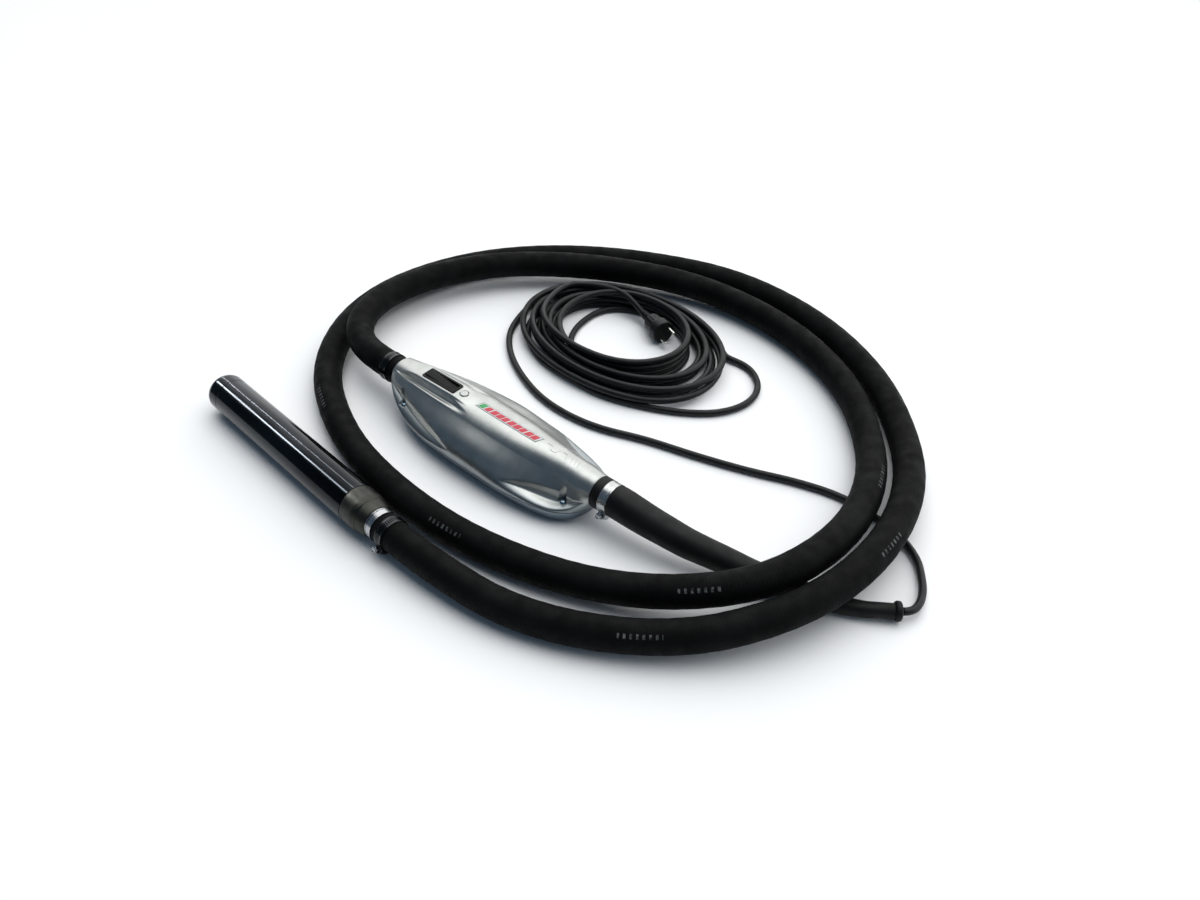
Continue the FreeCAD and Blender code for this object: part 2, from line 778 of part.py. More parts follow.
def switch_well():
    start = size("switch_x - switch_length / 2")
    return centred_box(start, start + size("switch_length"), size("switch_width"), 50, 90)


def neck_bores():
    radius = size("nipple_radius + fit_gap")
    length = size("end_wall") + 2
    front = Vector(size("front_neck") - 1, 0, size("front_neck_height"))
    rear = Vector(size("rear_neck") + 1, 0, size("rear_neck_height"))
    along = Vector(1, 0, 0)
    return [Part.makeCylinder(radius, length, front, along), Part.makeCylinder(radius, length, rear, -along)]


def raised_ribs(hull):
    ribs = []
    lifted = hull.translated(Vector(0, 0, size("rib_thickness")))
    for index in range(int(size("rib_count"))):
        start = size("rib_start") + index * size("rib_pitch")
        ribs.append(lifted.common(centred_box(start, start + 6, 15, 67, 80)))
    return ribs


def shells():
    outer_stations, inner_stations = shell_spans()
    hull = body_loft(outer_stations, 0)
    cavity = body_loft(inner_stations, size("shell_wall"))
    pillars, bores, scoops = fixings(hull)
    x = size("boss_x")
    boss = upright(x, 0, 66, size("pad_top"), size("boss_radius + 3"))
    boss_hole = upright(x, 0, 60, 90, size("boss_radius + fit_gap"))
    solid = hull.cut(cavity).fuse(pillars + [switch_pad().cut(cavity), boss.cut(cavity)] + raised_ribs(hull))
    solid = solid.cut(bores + scoops + neck_bores() + [switch_well(), boss_hole])
    low = size("parting_height - seal_thickness / 2")
    high = size("parting_height + seal_thickness / 2")
    wide = 400
    keep_shape(solid.common(centred_box(-wide, wide, wide, high, wide)), "shell_top")
    keep_shape(solid.common(centred_box(-wide, wide, wide, low, high)), "shell_seal")
    keep_shape(solid.common(centred_box(-wide, wide, wide, -1, low)), "shell_bottom")
    keep_shape(trim_strip(hull), "trim_plate")


def trim_strip(hull):
    start = size("trim_start")
    strip = centred_box(start, start + size("trim_length"), size("trim_width"), 55, 90)
    return hull.translated(Vector(0, 0, size("trim_thickness"))).common(strip).cut(hull)


def shell_screws():
    screws = []
    for index, (x, y, seat) in enumerate(SHELL_SCREWS):
        shank = post("ShellScrewShank%d" % index, "screw_radius", "%s - screw_foot" % seat, str(x), str(y),
                     "screw_foot")
        head = post("ShellScrewHead%d" % index, "screw_head_radius", "screw_head_height", str(x), str(y),
                    str(seat))
        screws.append(join("ShellScrew%d" % index, [shank, head]))
    keep(group("ShellScrews", screws), "shell_screws")


def neck_fittings():
    """Nipples that the hose and the handle sleeve are clamped on, with their washers."""
    washers = [
        neck_fitting("front", on_front_neck, "+", "-"),
        neck_fitting("rear", on_rear_neck, "-", "+")]
    keep(group("NippleSeals", washers), "nipple_seals")


def neck_fitting(place, frame, inward, outward):
    """One nipple of the converter; returns its washer."""
    name = place.capitalize()
    neck = place + "_neck"
    wall = "%s %s end_wall" % (neck, inward)
    nut = "%s %s washer_thickness" % (wall, inward)
    end = "%s %s nut_length" % (nut, inward)
    body = turned(name + "Nipple", [
        (end, "nipple_bore"), (end, "nut_radius"), (nut, "nut_radius"), (nut, "nipple_radius"),
        (neck, "nipple_radius")] + barbs(neck, outward, 2, place + "_tail"))
    keep(frame(body), place + "_nipple")
    start = wall if inward == "+" else nut
    return frame(ring(name + "Washer", "washer_radius", "nipple_radius + fit_gap", "washer_thickness", start))


# Switch


def switch():
    left = "switch_x - switch_length / 2"
    right = "switch_x + switch_length / 2"
    low = "0 - switch_width / 2"
    bezel = padded("SwitchBezel", "XY_Plane", rectangle(left, right, low, "switch_width / 2"), "bezel_height")
    opening = attached_sketch(bezel, "BezelOpening", "XY_Plane")
    room = "rocker_width / 2 + rocker_room"
    draw_outline(opening, rectangle("switch_x - rocker_half - rocker_room * 2",
                                    "switch_x + rocker_half + rocker_room * 2", "0 - " + room.replace("+", "-"),
                                    room))
    pocket_from(bezel, "BezelPocket", opening, "bezel_height * 3")
    pin_level = "pin_height - switch_top + bezel_height"
    holes(bezel, "BezelPinHole", "XZ_Plane", [("switch_x", pin_level)], "pin_radius + fit_gap",
          "switch_width * 2")
    keep(bind(bezel, Placement__Base__z="switch_top - bezel_height"), "switch_bezel")
    block_item = block("SwitchBody", "switch_length", "switch_width", "switch_body_height", left, low,
                       "switch_top - bezel_height - switch_body_height")
    keep(block_item, "switch_body")
    pin = cross_rod("RockerPin", "pin_radius", "switch_width", "switch_x", low, "pin_height")
    keep(pin, "rocker_pin")
    rocker_body()
    plug = post("BlankingPlug", "boss_radius", "boss_top - boss_foot", "boss_x", "0", "boss_foot")
    keep(plug, "blanking_plug")


def rocker_body():
    outline = rectangle("0 - rocker_half", "rocker_half", "0 - rocker_under", "rocker_over")
    rocker = padded("SwitchRocker", "XZ_Plane", outline, "rocker_width", True)
    holes(rocker, "RockerBore", "XZ_Plane", [("0", "0")], "pin_radius + fit_gap", "switch_width * 2")
    rocker.Placement.Rotation = Rotation(Vector(0, 1, 0), 1)
    bind(rocker, Placement__Base__x="switch_x", Placement__Base__z="pin_height")
    keep(bind(rocker, Placement__Rotation__Angle="rocker_tilt"), "switch_rocker")


# Electronics


def electronics():
    half_width = "board_width / 2"
    board = padded("CircuitBoard", "XY_Plane",
                   rectangle("board_start", "board_start + board_length", "0 - " + half_width, half_width),
                   "board_thickness")
    corners = [(x, y) for x in POST_STATIONS for y in ("0 - post_offset", "post_offset")]
    holes(board, "BoardHoles", "XY_Plane", [(str(x), y) for x, y in corners], "post_radius / 2", "20")
    keep(bind(board, Placement__Base__z="board_height"), "circuit_board")
    posts = []
    for index, (x, y) in enumerate(corners):
        posts.append(post("BoardPost%d" % index, "post_radius", "board_height - floor_height", str(x), y,
                          "floor_height"))
    keep(group("BoardPosts", posts), "board_posts")
    pad = block("HeatPad", "module_length", "module_width", "heat_pad", "module_start", "0 - module_width / 2",
                "floor_height")
    keep(pad, "heat_pad")
    module = block("PowerModule", "module_length", "module_width", "board_height - floor_height - heat_pad",
                   "module_start", "0 - module_width / 2", "floor_height + heat_pad")
    keep(module, "power_module")
    board_top = "board_height + board_thickness"
    cans = []
    for index in range(3):
        cans.append(post("Capacitor%d" % index, "capacitor_radius", "capacitor_length",
                         "capacitor_start + capacitor_pitch * %d" % index, "0", board_top))
    keep(group("Capacitors", cans), "capacitors")
    choke(board_top)
    terminals = block("TerminalBlock", "terminal_length", "terminal_width", "terminal_height", "terminal_start",
                      "0 - terminal_width / 2", board_top)
    keep(terminals, "terminal_block")


def choke(board_top):
    torus = doc.addObject("Part::Torus", "ChokeRing")
    bind(torus, Radius1="choke_ring", Radius2="choke_wire", Placement__Base__x="choke_x")
    bind(torus, Placement__Base__z=board_top + " + choke_wire + 2")
    base = post("ChokeBase", "choke_base", "choke_wire", "choke_x", "0", board_top)
    keep(join("Choke", [torus, base]), "choke")


# Handle sleeve and mains cable


def sleeve_sections(radii):
    """Circles square to the sleeve's route."""
    points = [Vector(*row[:3]) for row in SLEEVE_ROUTE]
    wires = []
    for index, (point, radius) in enumerate(zip(points, radii)):
        way = points[min(index + 1, len(points) - 1)] - points[max(index - 1, 0)]
        wires.append(Part.Wire([Part.Circle(point, way, radius).toShape()]))
    return wires


def sleeve_bores():
    """Bore radius at each point of the sleeve, shrinking evenly between two of them."""
    wide = size("hose_bore")
    narrow = size("sleeve_end_bore")
    radii = []
    for index in range(len(SLEEVE_ROUTE)):
        share = (index - WIDE_BORE_POINTS) / (NARROW_BORE_POINTS - WIDE_BORE_POINTS)
        radii.append(wide + (narrow - wide) * min(max(share, 0), 1))
    return radii


def handle_sleeve():
    bore = size("hose_bore")
    neck = Vector(size("rear_neck"), 0, size("rear_neck_height"))
    along = Vector(1, 0, 0)
    collar = Part.makeCylinder(size("collar_radius"), size("collar_length"), neck, along)
    waist = Part.makeCylinder(size("groove_radius"), size("groove_end - rear_neck"), neck, along)
    outside = Part.makeLoft(sleeve_sections([row[3] for row in SLEEVE_ROUTE]), True)
    inside = Part.makeLoft(sleeve_sections(sleeve_bores()), True)
    straight = Part.makeCylinder(bore, size("groove_end - rear_neck"), neck, along)
    solid = outside.fuse([collar, waist]).cut([inside, straight])
    keep_shape(solid, "handle_sleeve")


def sleeve_grommet():
    end = Vector(*SLEEVE_ROUTE[-1][:3])
    way = end - Vector(*SLEEVE_ROUTE[-2][:3])
    radius = size("grommet_radius")
    flange = Part.makeCylinder(radius, size("grommet_length"), end, way)
    flange = flange.makeFillet(3, [edge for edge in flange.Edges if isinstance(edge.Curve, Part.Circle)])
    bore = Part.makeCylinder(size("cable_radius + fit_gap"), 40, end - way.normalize() * 20, way)
    keep_shape(flange.cut(bore), "sleeve_grommet")


def cable():
    start = (size("rear_neck") + 19, 0, size("rear_neck_height"))
    lead_route = [start] + [row[:3] for row in SLEEVE_ROUTE[1:-1]] + [CABLE_ROUTE[0]]
    radius = size("cable_radius")
    keep_shape(tube_along("inlet_lead", lead_route, radius), "inlet_lead")
    keep_shape(tube_along("mains_cable_run", CABLE_ROUTE, radius), "mains_cable_run")
    keep_shape(tube_along("cable_tail", TAIL_ROUTE, radius), "cable_tail")
    loose = tube_along("loose turn", LOOSE_TURN, radius)
    keep_shape(coil_ring().fuse(loose), "cable_coil")


def ellipse_prism(centre_x, centre_y, half_length, half_width):
    centre = Vector(size(centre_x), size(centre_y), size("coil_foot"))
    curve = Part.Ellipse(centre, size(half_length), size(half_width))
    face = Part.Face(Part.Wire([curve.toShape()]))
    return face.extrude(Vector(0, 0, size("coil_height")))


def coil_ring():
    outer = ellipse_prism("coil_x", "coil_y", "coil_length", "coil_width")
    inner = ellipse_prism("coil_hole_x", "coil_hole_y", "coil_hole_length", "coil_hole_width")
    rim = size("coil_round")
    outer = outer.makeFillet(rim, [edge for edge in outer.Edges if edge.BoundBox.ZLength < 1])
    return outer.cut(inner)


# Plug


def plug():
    insert_start = "plug_length - insert_length"
    body = turned("PlugBody", [
        ("0", "0"), ("0", "relief_radius"), ("relief_length", "relief_end_radius"),
        ("relief_length + 3", "grip_radius"), ("grip_end", "grip_end_radius"), ("grip_end + 4", "plug_radius"),
        ("plug_length", "plug_radius"), ("plug_length", "insert_radius + fit_gap"),
        (insert_start, "insert_radius + fit_gap"), (insert_start, "0")])
    slot = block("EarthSlot", "earth_length", "earth_width", "plug_radius * 2 + 2", "plug_length - earth_length",
                 "0 - earth_width / 2", "0 - plug_radius - 1")
    core = rod("EarthSlotCore", "insert_radius - 2", "earth_length + 4", "plug_length - earth_length - 2")
    keep(on_plug(cut("PlugShell", body, cut("EarthSlots", slot, core))), "plug_body")
    face = rod("PlugInsertDisc", "insert_radius", "insert_length", insert_start)
    root = "plug_length - prong_root"
    sockets = []
    prongs = []
    for index, side in enumerate(("prong_offset", "0 - prong_offset")):
        sockets.append(rod("ProngSocket%d" % index, "prong_root_radius + fit_gap", "prong_root + 1", root, side))
        foot = rod("ProngFoot%d" % index, "prong_root_radius", "prong_root", root, side)
        pin = rod("ProngPin%d" % index, "prong_radius", "prong_length", "plug_length", side)
        prongs.append(join("Prong%d" % index, [foot, pin]))
    keep(on_plug(cut("PlugInsert", face, join("ProngSockets", sockets))), "plug_insert")
    keep(on_plug(group("PlugPins", prongs)), "plug_pins")
    clips = []
    for index, level in enumerate(("insert_radius + fit_gap", "0 - insert_radius - fit_gap - earth_thickness")):
        clips.append(block("EarthClip%d" % index, "insert_length - 1", "earth_width", "earth_thickness",
                           "plug_length - insert_length + 0.5", "0 - earth_width / 2", level))
    keep(on_plug(group("EarthClips", clips)), "earth_clips")


def export_all():
    doc.recompute()
    for item in doc.Objects:
        if "Invalid" in item.State or "Error" in item.State:
            raise RuntimeError("failed object: " + item.Name)
    for item, node in PARTS:
        if item.Shape.isNull() or not item.Shape.isValid():
            raise RuntimeError("bad shape: " + node)
    os.makedirs("parts", exist_ok=True)
    for item, node in PARTS:
        item.Shape.exportStep("parts/%s.step" % node)
        print("%-26s %10.0f mm3, %d solids" % (node, item.Shape.Volume, len(item.Shape.Solids)))


fill_sheet()
nose_cap()
head_tube()
head_adaptor()
head_nipple()
bearing("FrontBearing", "front_bearing", "front_bearing")
bearing("RearBearing", "rear_bearing", "rear_bearing")
rotor()
stator()
head_electrics()
hose()
clamps()
shells()
shell_screws()
neck_fittings()
switch()
electronics()
handle_sleeve()
sleeve_grommet()
cable()
plug()
export_all()
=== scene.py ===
import json
import math
import random

import bmesh
import bpy
import numpy as np
from mathutils import Matrix, Vector


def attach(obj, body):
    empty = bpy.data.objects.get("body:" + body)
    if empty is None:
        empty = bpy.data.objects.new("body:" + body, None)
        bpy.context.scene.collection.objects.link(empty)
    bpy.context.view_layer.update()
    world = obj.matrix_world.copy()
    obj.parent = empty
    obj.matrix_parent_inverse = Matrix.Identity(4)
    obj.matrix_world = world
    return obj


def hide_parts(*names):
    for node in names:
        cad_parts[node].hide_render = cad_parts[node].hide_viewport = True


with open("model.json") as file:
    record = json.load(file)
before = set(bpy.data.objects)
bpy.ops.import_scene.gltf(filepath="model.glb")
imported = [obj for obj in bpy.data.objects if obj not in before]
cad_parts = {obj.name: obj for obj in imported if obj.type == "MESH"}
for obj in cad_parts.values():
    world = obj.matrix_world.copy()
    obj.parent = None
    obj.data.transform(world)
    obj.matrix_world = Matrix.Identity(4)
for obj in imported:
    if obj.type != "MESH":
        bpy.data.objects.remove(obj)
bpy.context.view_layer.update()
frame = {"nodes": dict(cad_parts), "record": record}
MM = 0.001  # Tables and shape code are in millimetres, Blender's objects in metres.
NODES = frame["nodes"]
HEAD_NOSE, HEAD_TURN = (-356.84, -169.34, 26.5), -4.5  # The head's tip, and its turn in degrees.

# Camera and objects

CAMERA_PLACE = Vector((0.7442, -0.6536, 0.876))
CAMERA_PITCH = math.radians(41.7)
CAMERA_HEADING = Vector((-0.648, 0.7616, 0.0))
CAMERA_LENS = 29.61


def linked(name, data):
    """A new object in the scene."""
    item = bpy.data.objects.new(name, data)
    bpy.context.scene.collection.objects.link(item)
    return item


def add_camera():
    data = bpy.data.cameras.new("camera")
    data.sensor_width = 36.0
    data.lens = CAMERA_LENS
    data.clip_start = 0.01
    camera = linked("camera", data)
    look = CAMERA_HEADING * math.cos(CAMERA_PITCH) - Vector((0, 0, math.sin(CAMERA_PITCH)))
    camera.location = CAMERA_PLACE
    camera.rotation_euler = look.to_track_quat("-Z", "Y").to_euler()
    bpy.context.scene.camera = camera


# Materials


class Nodes:
    """A node tree whose nodes are added one by one."""

    def __init__(self, owner):
        owner.use_nodes = True
        self.tree = owner.node_tree

    def feed(self, socket, value):
        """Links an output to a socket, or sets the socket's own value."""
        if isinstance(value, bpy.types.NodeSocket):
            self.tree.links.new(value, socket)
        else:
            socket.default_value = value

    def node(self, kind, inputs=None, **settings):
        item = self.tree.nodes.new("ShaderNode" + kind)
        for key, value in settings.items():
            setattr(item, key, value)
        for key, value in (inputs or {}).items():
            self.feed(item.inputs[key], value)
        return item


class Shader(Nodes):
    """A Principled material."""

    def __init__(self, name):
        self.material = bpy.data.materials.new(name)
        super().__init__(self.material)
        self.base = self.tree.nodes["Principled BSDF"]

    def put(self, **values):
        """Feeds the base shader's sockets, with _ for the spaces in their names."""
        for key, value in values.items():
            self.feed(self.base.inputs[key.replace("_", " ")], value)

    def coordinates(self, stretch=(1, 1, 1), turn=0.0):
        places = self.node("TexCoord").outputs["Object"]
        inputs = {"Vector": places, "Scale": stretch, "Rotation": (0, 0, turn)}
        return self.node("Mapping", inputs).outputs["Vector"]

    def noise(self, vector, scale, detail=4.0):
        inputs = {"Vector": vector, "Scale": scale, "Detail": detail}
        return self.node("TexNoise", inputs).outputs["Fac"]

    def span(self, value, low, high, start=0.35, end=0.65):
        inputs = {"Value": value, "From Min": start, "From Max": end, "To Min": low, "To Max": high}
        return self.node("MapRange", inputs).outputs["Result"]

    def maths(self, operation, *values):
        return self.node("Math", dict(enumerate(values)), operation=operation).outputs[0]

    def mix(self, factor, first, second):
        """Mixes two colours. Sockets 6 and 7 are the Mix node's colour inputs, and 2 its output."""
        return self.node("Mix", {0: factor, 6: first, 7: second}, data_type="RGBA").outputs[2]

    def product(self, first, *others):
        for other in others:
            first = self.maths("MULTIPLY", first, other)
        return first

    def route(self):
        """Share of the way round a tube, and metres along it."""
        axes = self.node(
            "SeparateXYZ", {"Vector": self.node("UVMap", uv_map="route").outputs["UV"]})
        return axes.outputs["X"], axes.outputs["Y"]

    def dashes(self, around, along, pitch, group, line, fineness, gap):
        """1 on printed dashes. group and line hold the middle and half the width of a group of
        dashes along the tube, which repeats at the pitch, and of the line that it lies in."""
        station = self.maths("WRAP", along, pitch, 0.0)
        wave = self.maths("SINE", self.maths("MULTIPLY", along, fineness))
        return self.product(
            self.maths("COMPARE", station, *group), self.maths("COMPARE", around, *line),
            self.maths("GREATER_THAN", wave, gap))

    def bumps(self, *layers):
        """Height fields with the depth of each in metres."""
        inputs = {"Strength": 1.0}
        for height, depth in layers:
            inputs.update(Height=height, Distance=depth)
            inputs["Normal"] = self.node("Bump", inputs).outputs["Normal"]
        self.put(Normal=inputs["Normal"])


def shade(colour, factor):
    """The colour made lighter or darker, with full alpha."""
    return tuple(min(1.0, channel * factor) for channel in colour) + (1.0,)


def plain_shader(
        name, colour, roughness, metallic=0.0, mottle=0.15, patch=45.0, spread=0.06, grain=900.0,
        depth=0.00004, stretch=(1, 1, 1), turn=0.0, **settings):
    """Mottled colour, uneven roughness and a fine grain."""
    shader = Shader(name)
    vector = shader.coordinates(stretch, turn)
    cloud = shader.span(shader.noise(vector, patch), 0, 1)
    shader.put(Base_Color=shader.mix(cloud, shade(colour, 1 - mottle), shade(colour, 1 + mottle)))
    shader.put(
        Roughness=shader.span(
            shader.noise(vector, patch * 2.3), roughness - spread, roughness + spread))
    shader.bumps((shader.noise(vector, grain, 3.0), depth))
    shader.put(Metallic=metallic, **settings)
    return shader


def hose_shader():
    """Cloth-wrapped rubber: fine spiral windings, dusty patches and pale printed dashes."""
    shader = Shader("hose_rubber")
    vector = shader.coordinates()
    around, along = shader.route()
    winding = shader.maths("MULTIPLY", along, 1570.0)
    spiral = shader.maths(
        "SINE", shader.maths("ADD", winding, shader.maths("MULTIPLY", around, 2 * math.pi)))
    dust = shader.span(shader.noise(vector, 22.0), 0, 1, 0.45, 0.75)
    rubber = shader.mix(dust, (0.0016, 0.0018, 0.0019, 1), (0.0048, 0.0052, 0.0054, 1))
    mark = shader.dashes(around, along, 0.3132, (0.0322, 0.024), (0.36, 0.022), 920.0, 0.25)
    printed_part = shader.maths("COMPARE", along, 2.3, 1.95)
    wear = shader.span(shader.noise(vector, 260.0), 0.05, 0.55)
    worn = shader.product(mark, printed_part, wear)
    shader.put(Base_Color=shader.mix(worn, rubber, (0.20, 0.22, 0.22, 1)))
    shader.put(Roughness=shader.span(shader.noise(vector, 60.0), 0.60, 0.78))
    shader.bumps(
        (spiral, 0.00006), (shader.noise(vector, 1300.0, 3.0), 0.00012),
        (shader.noise(vector, 35.0), 0.0006))
    shader.put(Specular_IOR_Level=0.08)
    return shader


def cable_shader():
    """Smooth rubber with faint printing in one line."""
    shader = Shader("cable_rubber")
    vector = shader.coordinates()
    cloud = shader.span(shader.noise(vector, 30.0), 0, 1)
    rubber = shader.mix(cloud, (0.0030, 0.0038, 0.0042, 1), (0.0065, 0.0080, 0.0085, 1))
    mark = shader.dashes(*shader.route(), 1.03, (0.5, 0.05), (0.22, 0.03), 1700.0, 0.3)
    faint = shader.maths("MULTIPLY", mark, 0.35)
    shader.put(Base_Color=shader.mix(faint, rubber, (0.2, 0.22, 0.23, 1)))
    shader.put(Roughness=shader.span(shader.noise(vector, 90.0), 0.36, 0.50))
    shader.bumps((shader.noise(vector, 700.0, 3.0), 0.00005), (shader.noise(vector, 60.0), 0.0002))
    shader.put(Specular_IOR_Level=0.26)
    return shader


def aluminium_shader():
    """Satin sand-cast metal: fine grain, faint brushing across the body, and painted shade that
    makes the lower part darker and bluer.
    The hollow attribute is over 0 in the hollows on the -Y side, which get a painted highlight in a
    brighter colour, and under 0 in those on the +Y side, which get painted shade in a darker
    colour."""
    shader = Shader("cast_aluminium")
    vector = shader.coordinates()
    height = shader.node("SeparateXYZ", {"Vector": vector}).outputs["Z"]
    # Painted shade: below 42 mm the colour fades to a dark blue, fully at 14 mm.
    low = shader.span(height, 1, 0, 0.014, 0.042)
    cloud = shader.span(shader.noise(vector, 55.0), 0, 1)
    bright = shader.mix(cloud, (0.39, 0.405, 0.39, 1), (0.45, 0.465, 0.45, 1))
    hollow = shader.node("Attribute", attribute_name="hollow").outputs["Fac"]
    # The lower part takes the painted shade colour here.
    body = shader.mix(low, bright, (0.11, 0.15, 0.19, 1))
    # Painted shade: the hollows on the +Y side are mixed to a darker colour.
    body = shader.mix(shader.maths("MULTIPLY", hollow, -1.0), body, (0.30, 0.32, 0.32, 1))
    # Painted highlight: the hollows on the -Y side are mixed to a brighter colour.
    shader.put(Base_Color=shader.mix(hollow, body, (0.64, 0.66, 0.63, 1)))
    brushed = shader.noise(shader.coordinates((60, 2, 2)), 30.0, 3.0)
    duller = shader.maths("MULTIPLY", hollow, 0.17)
    shader.put(Roughness=shader.maths("ADD", shader.span(brushed, 0.29, 0.39), duller))
    shader.bumps((shader.noise(vector, 1600.0, 3.0), 0.00012), (brushed, 0.00003))
    shader.put(Metallic=1.0)
    return shader


# Plain finishes by material slot: colour, roughness and settings for plain_shader.
METALS = {
    "ground_steel": (
        (0.022, 0.025, 0.028), 0.11,
        dict(
            mottle=0.4, patch=26, spread=0.03, grain=420, depth=0.00002, stretch=(0.3, 1, 1),
            turn=-math.radians(HEAD_TURN))),
    "dull_steel": (
        (0.040, 0.041, 0.036), 0.40,
        dict(mottle=0.18, patch=50, spread=0.05, grain=1500)),
    "bright_steel": (
        (0.13, 0.135, 0.14), 0.18, dict(mottle=0.1, patch=60, spread=0.04, depth=0.00002)),
    "turned_steel": (
        (0.45, 0.46, 0.47), 0.24, dict(mottle=0.1, patch=60, grain=700, depth=0.00003)),
    "zinc_steel": ((0.42, 0.43, 0.43), 0.27, dict(mottle=0.2, patch=120, depth=0.00003)),
    "dark_zinc": ((0.045, 0.048, 0.05), 0.24, dict(mottle=0.3, patch=120, depth=0.00003)),
    "blue_zinc": ((0.42, 0.56, 0.64), 0.22, dict(patch=300, grain=1500, depth=0.00003)),
    "bearing_steel": ((0.65, 0.66, 0.67), 0.12, dict(mottle=0.05)),
    "cage_brass": ((0.62, 0.46, 0.20), 0.28, dict(mottle=0.12)),
    "cast_iron": ((0.10, 0.10, 0.105), 0.5, dict(mottle=0.25, depth=0.00015)),
    "core_steel": ((0.25, 0.26, 0.28), 0.38, dict(grain=2400, stretch=(4, 0.3, 0.3))),
    "copper_winding": (
        (0.50, 0.22, 0.08), 0.3, dict(mottle=0.2, grain=1200, depth=0.0002, stretch=(0.2, 1, 1))),
    "pin_brass": ((0.66, 0.65, 0.60), 0.2, dict(mottle=0.08, patch=200)),
}
RUBBERS_AND_PLASTICS = {
    "black_rubber": (
        (0.0045, 0.0047, 0.005), 0.52,
        dict(mottle=0.35, patch=30, spread=0.08, grain=1200, depth=0.00010, Specular_IOR_Level=0.18)
    ),
    "black_plastic": (
        (0.004, 0.0042, 0.0045), 0.45,
        dict(mottle=0.2, patch=80, grain=1700, depth=0.00006, Specular_IOR_Level=0.14)),
    "plug_rubber": (
        (0.0045, 0.005, 0.0055), 0.42,
        dict(mottle=0.25, patch=80, grain=1500, depth=0.00007, Specular_IOR_Level=0.28)),
    "seal_rubber": ((0.02, 0.02, 0.02), 0.6, dict(mottle=0.2)),
    "label": ((0.55, 0.58, 0.58), 0.35, dict(mottle=0.05, patch=150)),
    "label_red": ((0.50, 0.012, 0.035), 0.30, dict(mottle=0.12, patch=300)),
    "label_green": ((0.02, 0.30, 0.07), 0.30, dict(mottle=0.12, patch=300)),
    "label_rim": ((0.10, 0.11, 0.12), 0.35, dict(mottle=0.12, patch=300)),
    "board": ((0.03, 0.15, 0.06), 0.35, dict(mottle=0.3, patch=160)),
    "grey_plastic": ((0.25, 0.26, 0.27), 0.45, dict(mottle=0.1)),
    "heat_pad": ((0.45, 0.48, 0.54), 0.7, dict(mottle=0.1)),
    "white_plastic": ((0.75, 0.74, 0.70), 0.4, dict(mottle=0.05)),
}
MATERIAL_NAMES = {
    "black_rubber": "sleeve_rubber",
    "pin_brass": "pin_metal",
    "label": "label_base",
    "board": "board_lacquer",
    "heat_pad": "heat_pad_rubber",
}


def make_finishes():
    """One shader for each material slot of the record, and a few more for new pieces."""
    finishes = {
        "hose": hose_shader(), "cable_rubber": cable_shader(), "cast_aluminium": aluminium_shader(),
        "floor": plain_shader(
            "floor_paint", (0.93, 0.94, 0.94), 0.6, mottle=0.006, patch=2.0, depth=0.0,
            Specular_IOR_Level=0.2),
    }
    for metallic, rows in ((1.0, METALS), (0.0, RUBBERS_AND_PLASTICS)):
        for slot, (colour, roughness, settings) in rows.items():
            name = MATERIAL_NAMES.get(slot, slot)
            finishes[slot] = plain_shader(name, colour, roughness, metallic, **settings)
    return finishes


# Meshes


def at(x, y, z):
    return Matrix.Translation((x * MM, y * MM, z * MM))


def spin(degrees, axis):
    return Matrix.Rotation(math.radians(degrees), 4, axis)


def oval(long, wide, angles):
    """Points on an oval at angles in degrees."""
    turns = [math.radians(angle) for angle in angles]
    return [(long * math.cos(turn), wide * math.sin(turn)) for turn in turns]


def add_object(name, mesh, finish):
    item = linked(name, mesh)
    mesh.materials.append(FINISHES[finish].material)
    return item


def piece(item, slot, *nodes, body="frame"):
    """Ties a finished piece to its body and hides the CAD nodes that it stands for. The slot is not
    used.
    """
    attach(item, body)
    if nodes:
        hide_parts(*nodes)
    return item


def grid_mesh(name, rows, route=None):
    """A tube of rings of points, closed round each ring and capped at both ends.
    route holds the length along the tube at each ring, for the shaders."""
    count, sides = rows.shape[:2]
    mesh = bpy.data.meshes.new(name)
    near = np.arange(count - 1)[:, None] * sides
    turn = np.arange(sides)[None, :]
    after = (turn + 1) % sides
    quads = np.stack(
        [near + turn, near + after, near + sides + after, near + sides + turn], -1).reshape(-1, 4)
    faces = quads.tolist() + [
        list(range(sides))[::-1], list(range((count - 1) * sides, count * sides))]
    mesh.from_pydata((rows.reshape(-1, 3) * MM).tolist(), [], faces)
    mesh.polygons.foreach_set("use_smooth", [True] * (len(faces) - 2) + [False, False])
    if route is not None:
        layer = mesh.uv_layers.new(name="route")
        u_near = np.broadcast_to(turn / sides, (count - 1, sides))
        u_after = u_near + 1 / sides
        v_near = np.broadcast_to(route[:-1, None], (count - 1, sides))
        v_after = np.broadcast_to(route[1:, None], (count - 1, sides))
        uv = np.stack(
            [u_near, v_near, u_after, v_near, u_after, v_after, u_near, v_after], -1).reshape(-1)
        layer.data.foreach_set("uv", np.concatenate([uv, np.zeros(4 * sides)]).astype(np.float32))
    mesh.update()
    return mesh


def clean(mesh):
    """Merges doubled points and turns all faces outwards."""
    work = bmesh.new()
    work.from_mesh(mesh)
    bmesh.ops.remove_doubles(work, verts=work.verts, dist=1e-6)
    bmesh.ops.recalc_face_normals(work, faces=work.faces)
    work.to_mesh(mesh)
    work.free()


def built(name, work):
    mesh = bpy.data.meshes.new(name)
    work.to_mesh(mesh)
    work.free()
    return mesh


def circle(sides):
    """Even angles round a full turn."""
    return np.arange(sides) * 2 * math.pi / sides


def lengths_along(path):
    return np.concatenate([[0.0], np.cumsum(np.linalg.norm(np.diff(path, axis=0), axis=1))])


def on_path(path, places):
    """Points of the path at lengths along it."""
    along = lengths_along(path)
    return np.stack([np.interp(places, along, line) for line in path.T], -1)


def spaced(path, step):
    """The path with even spacing."""
    length = lengths_along(path)[-1]
    return on_path(path, np.linspace(0, length, max(2, int(round(length / step)) + 1)))


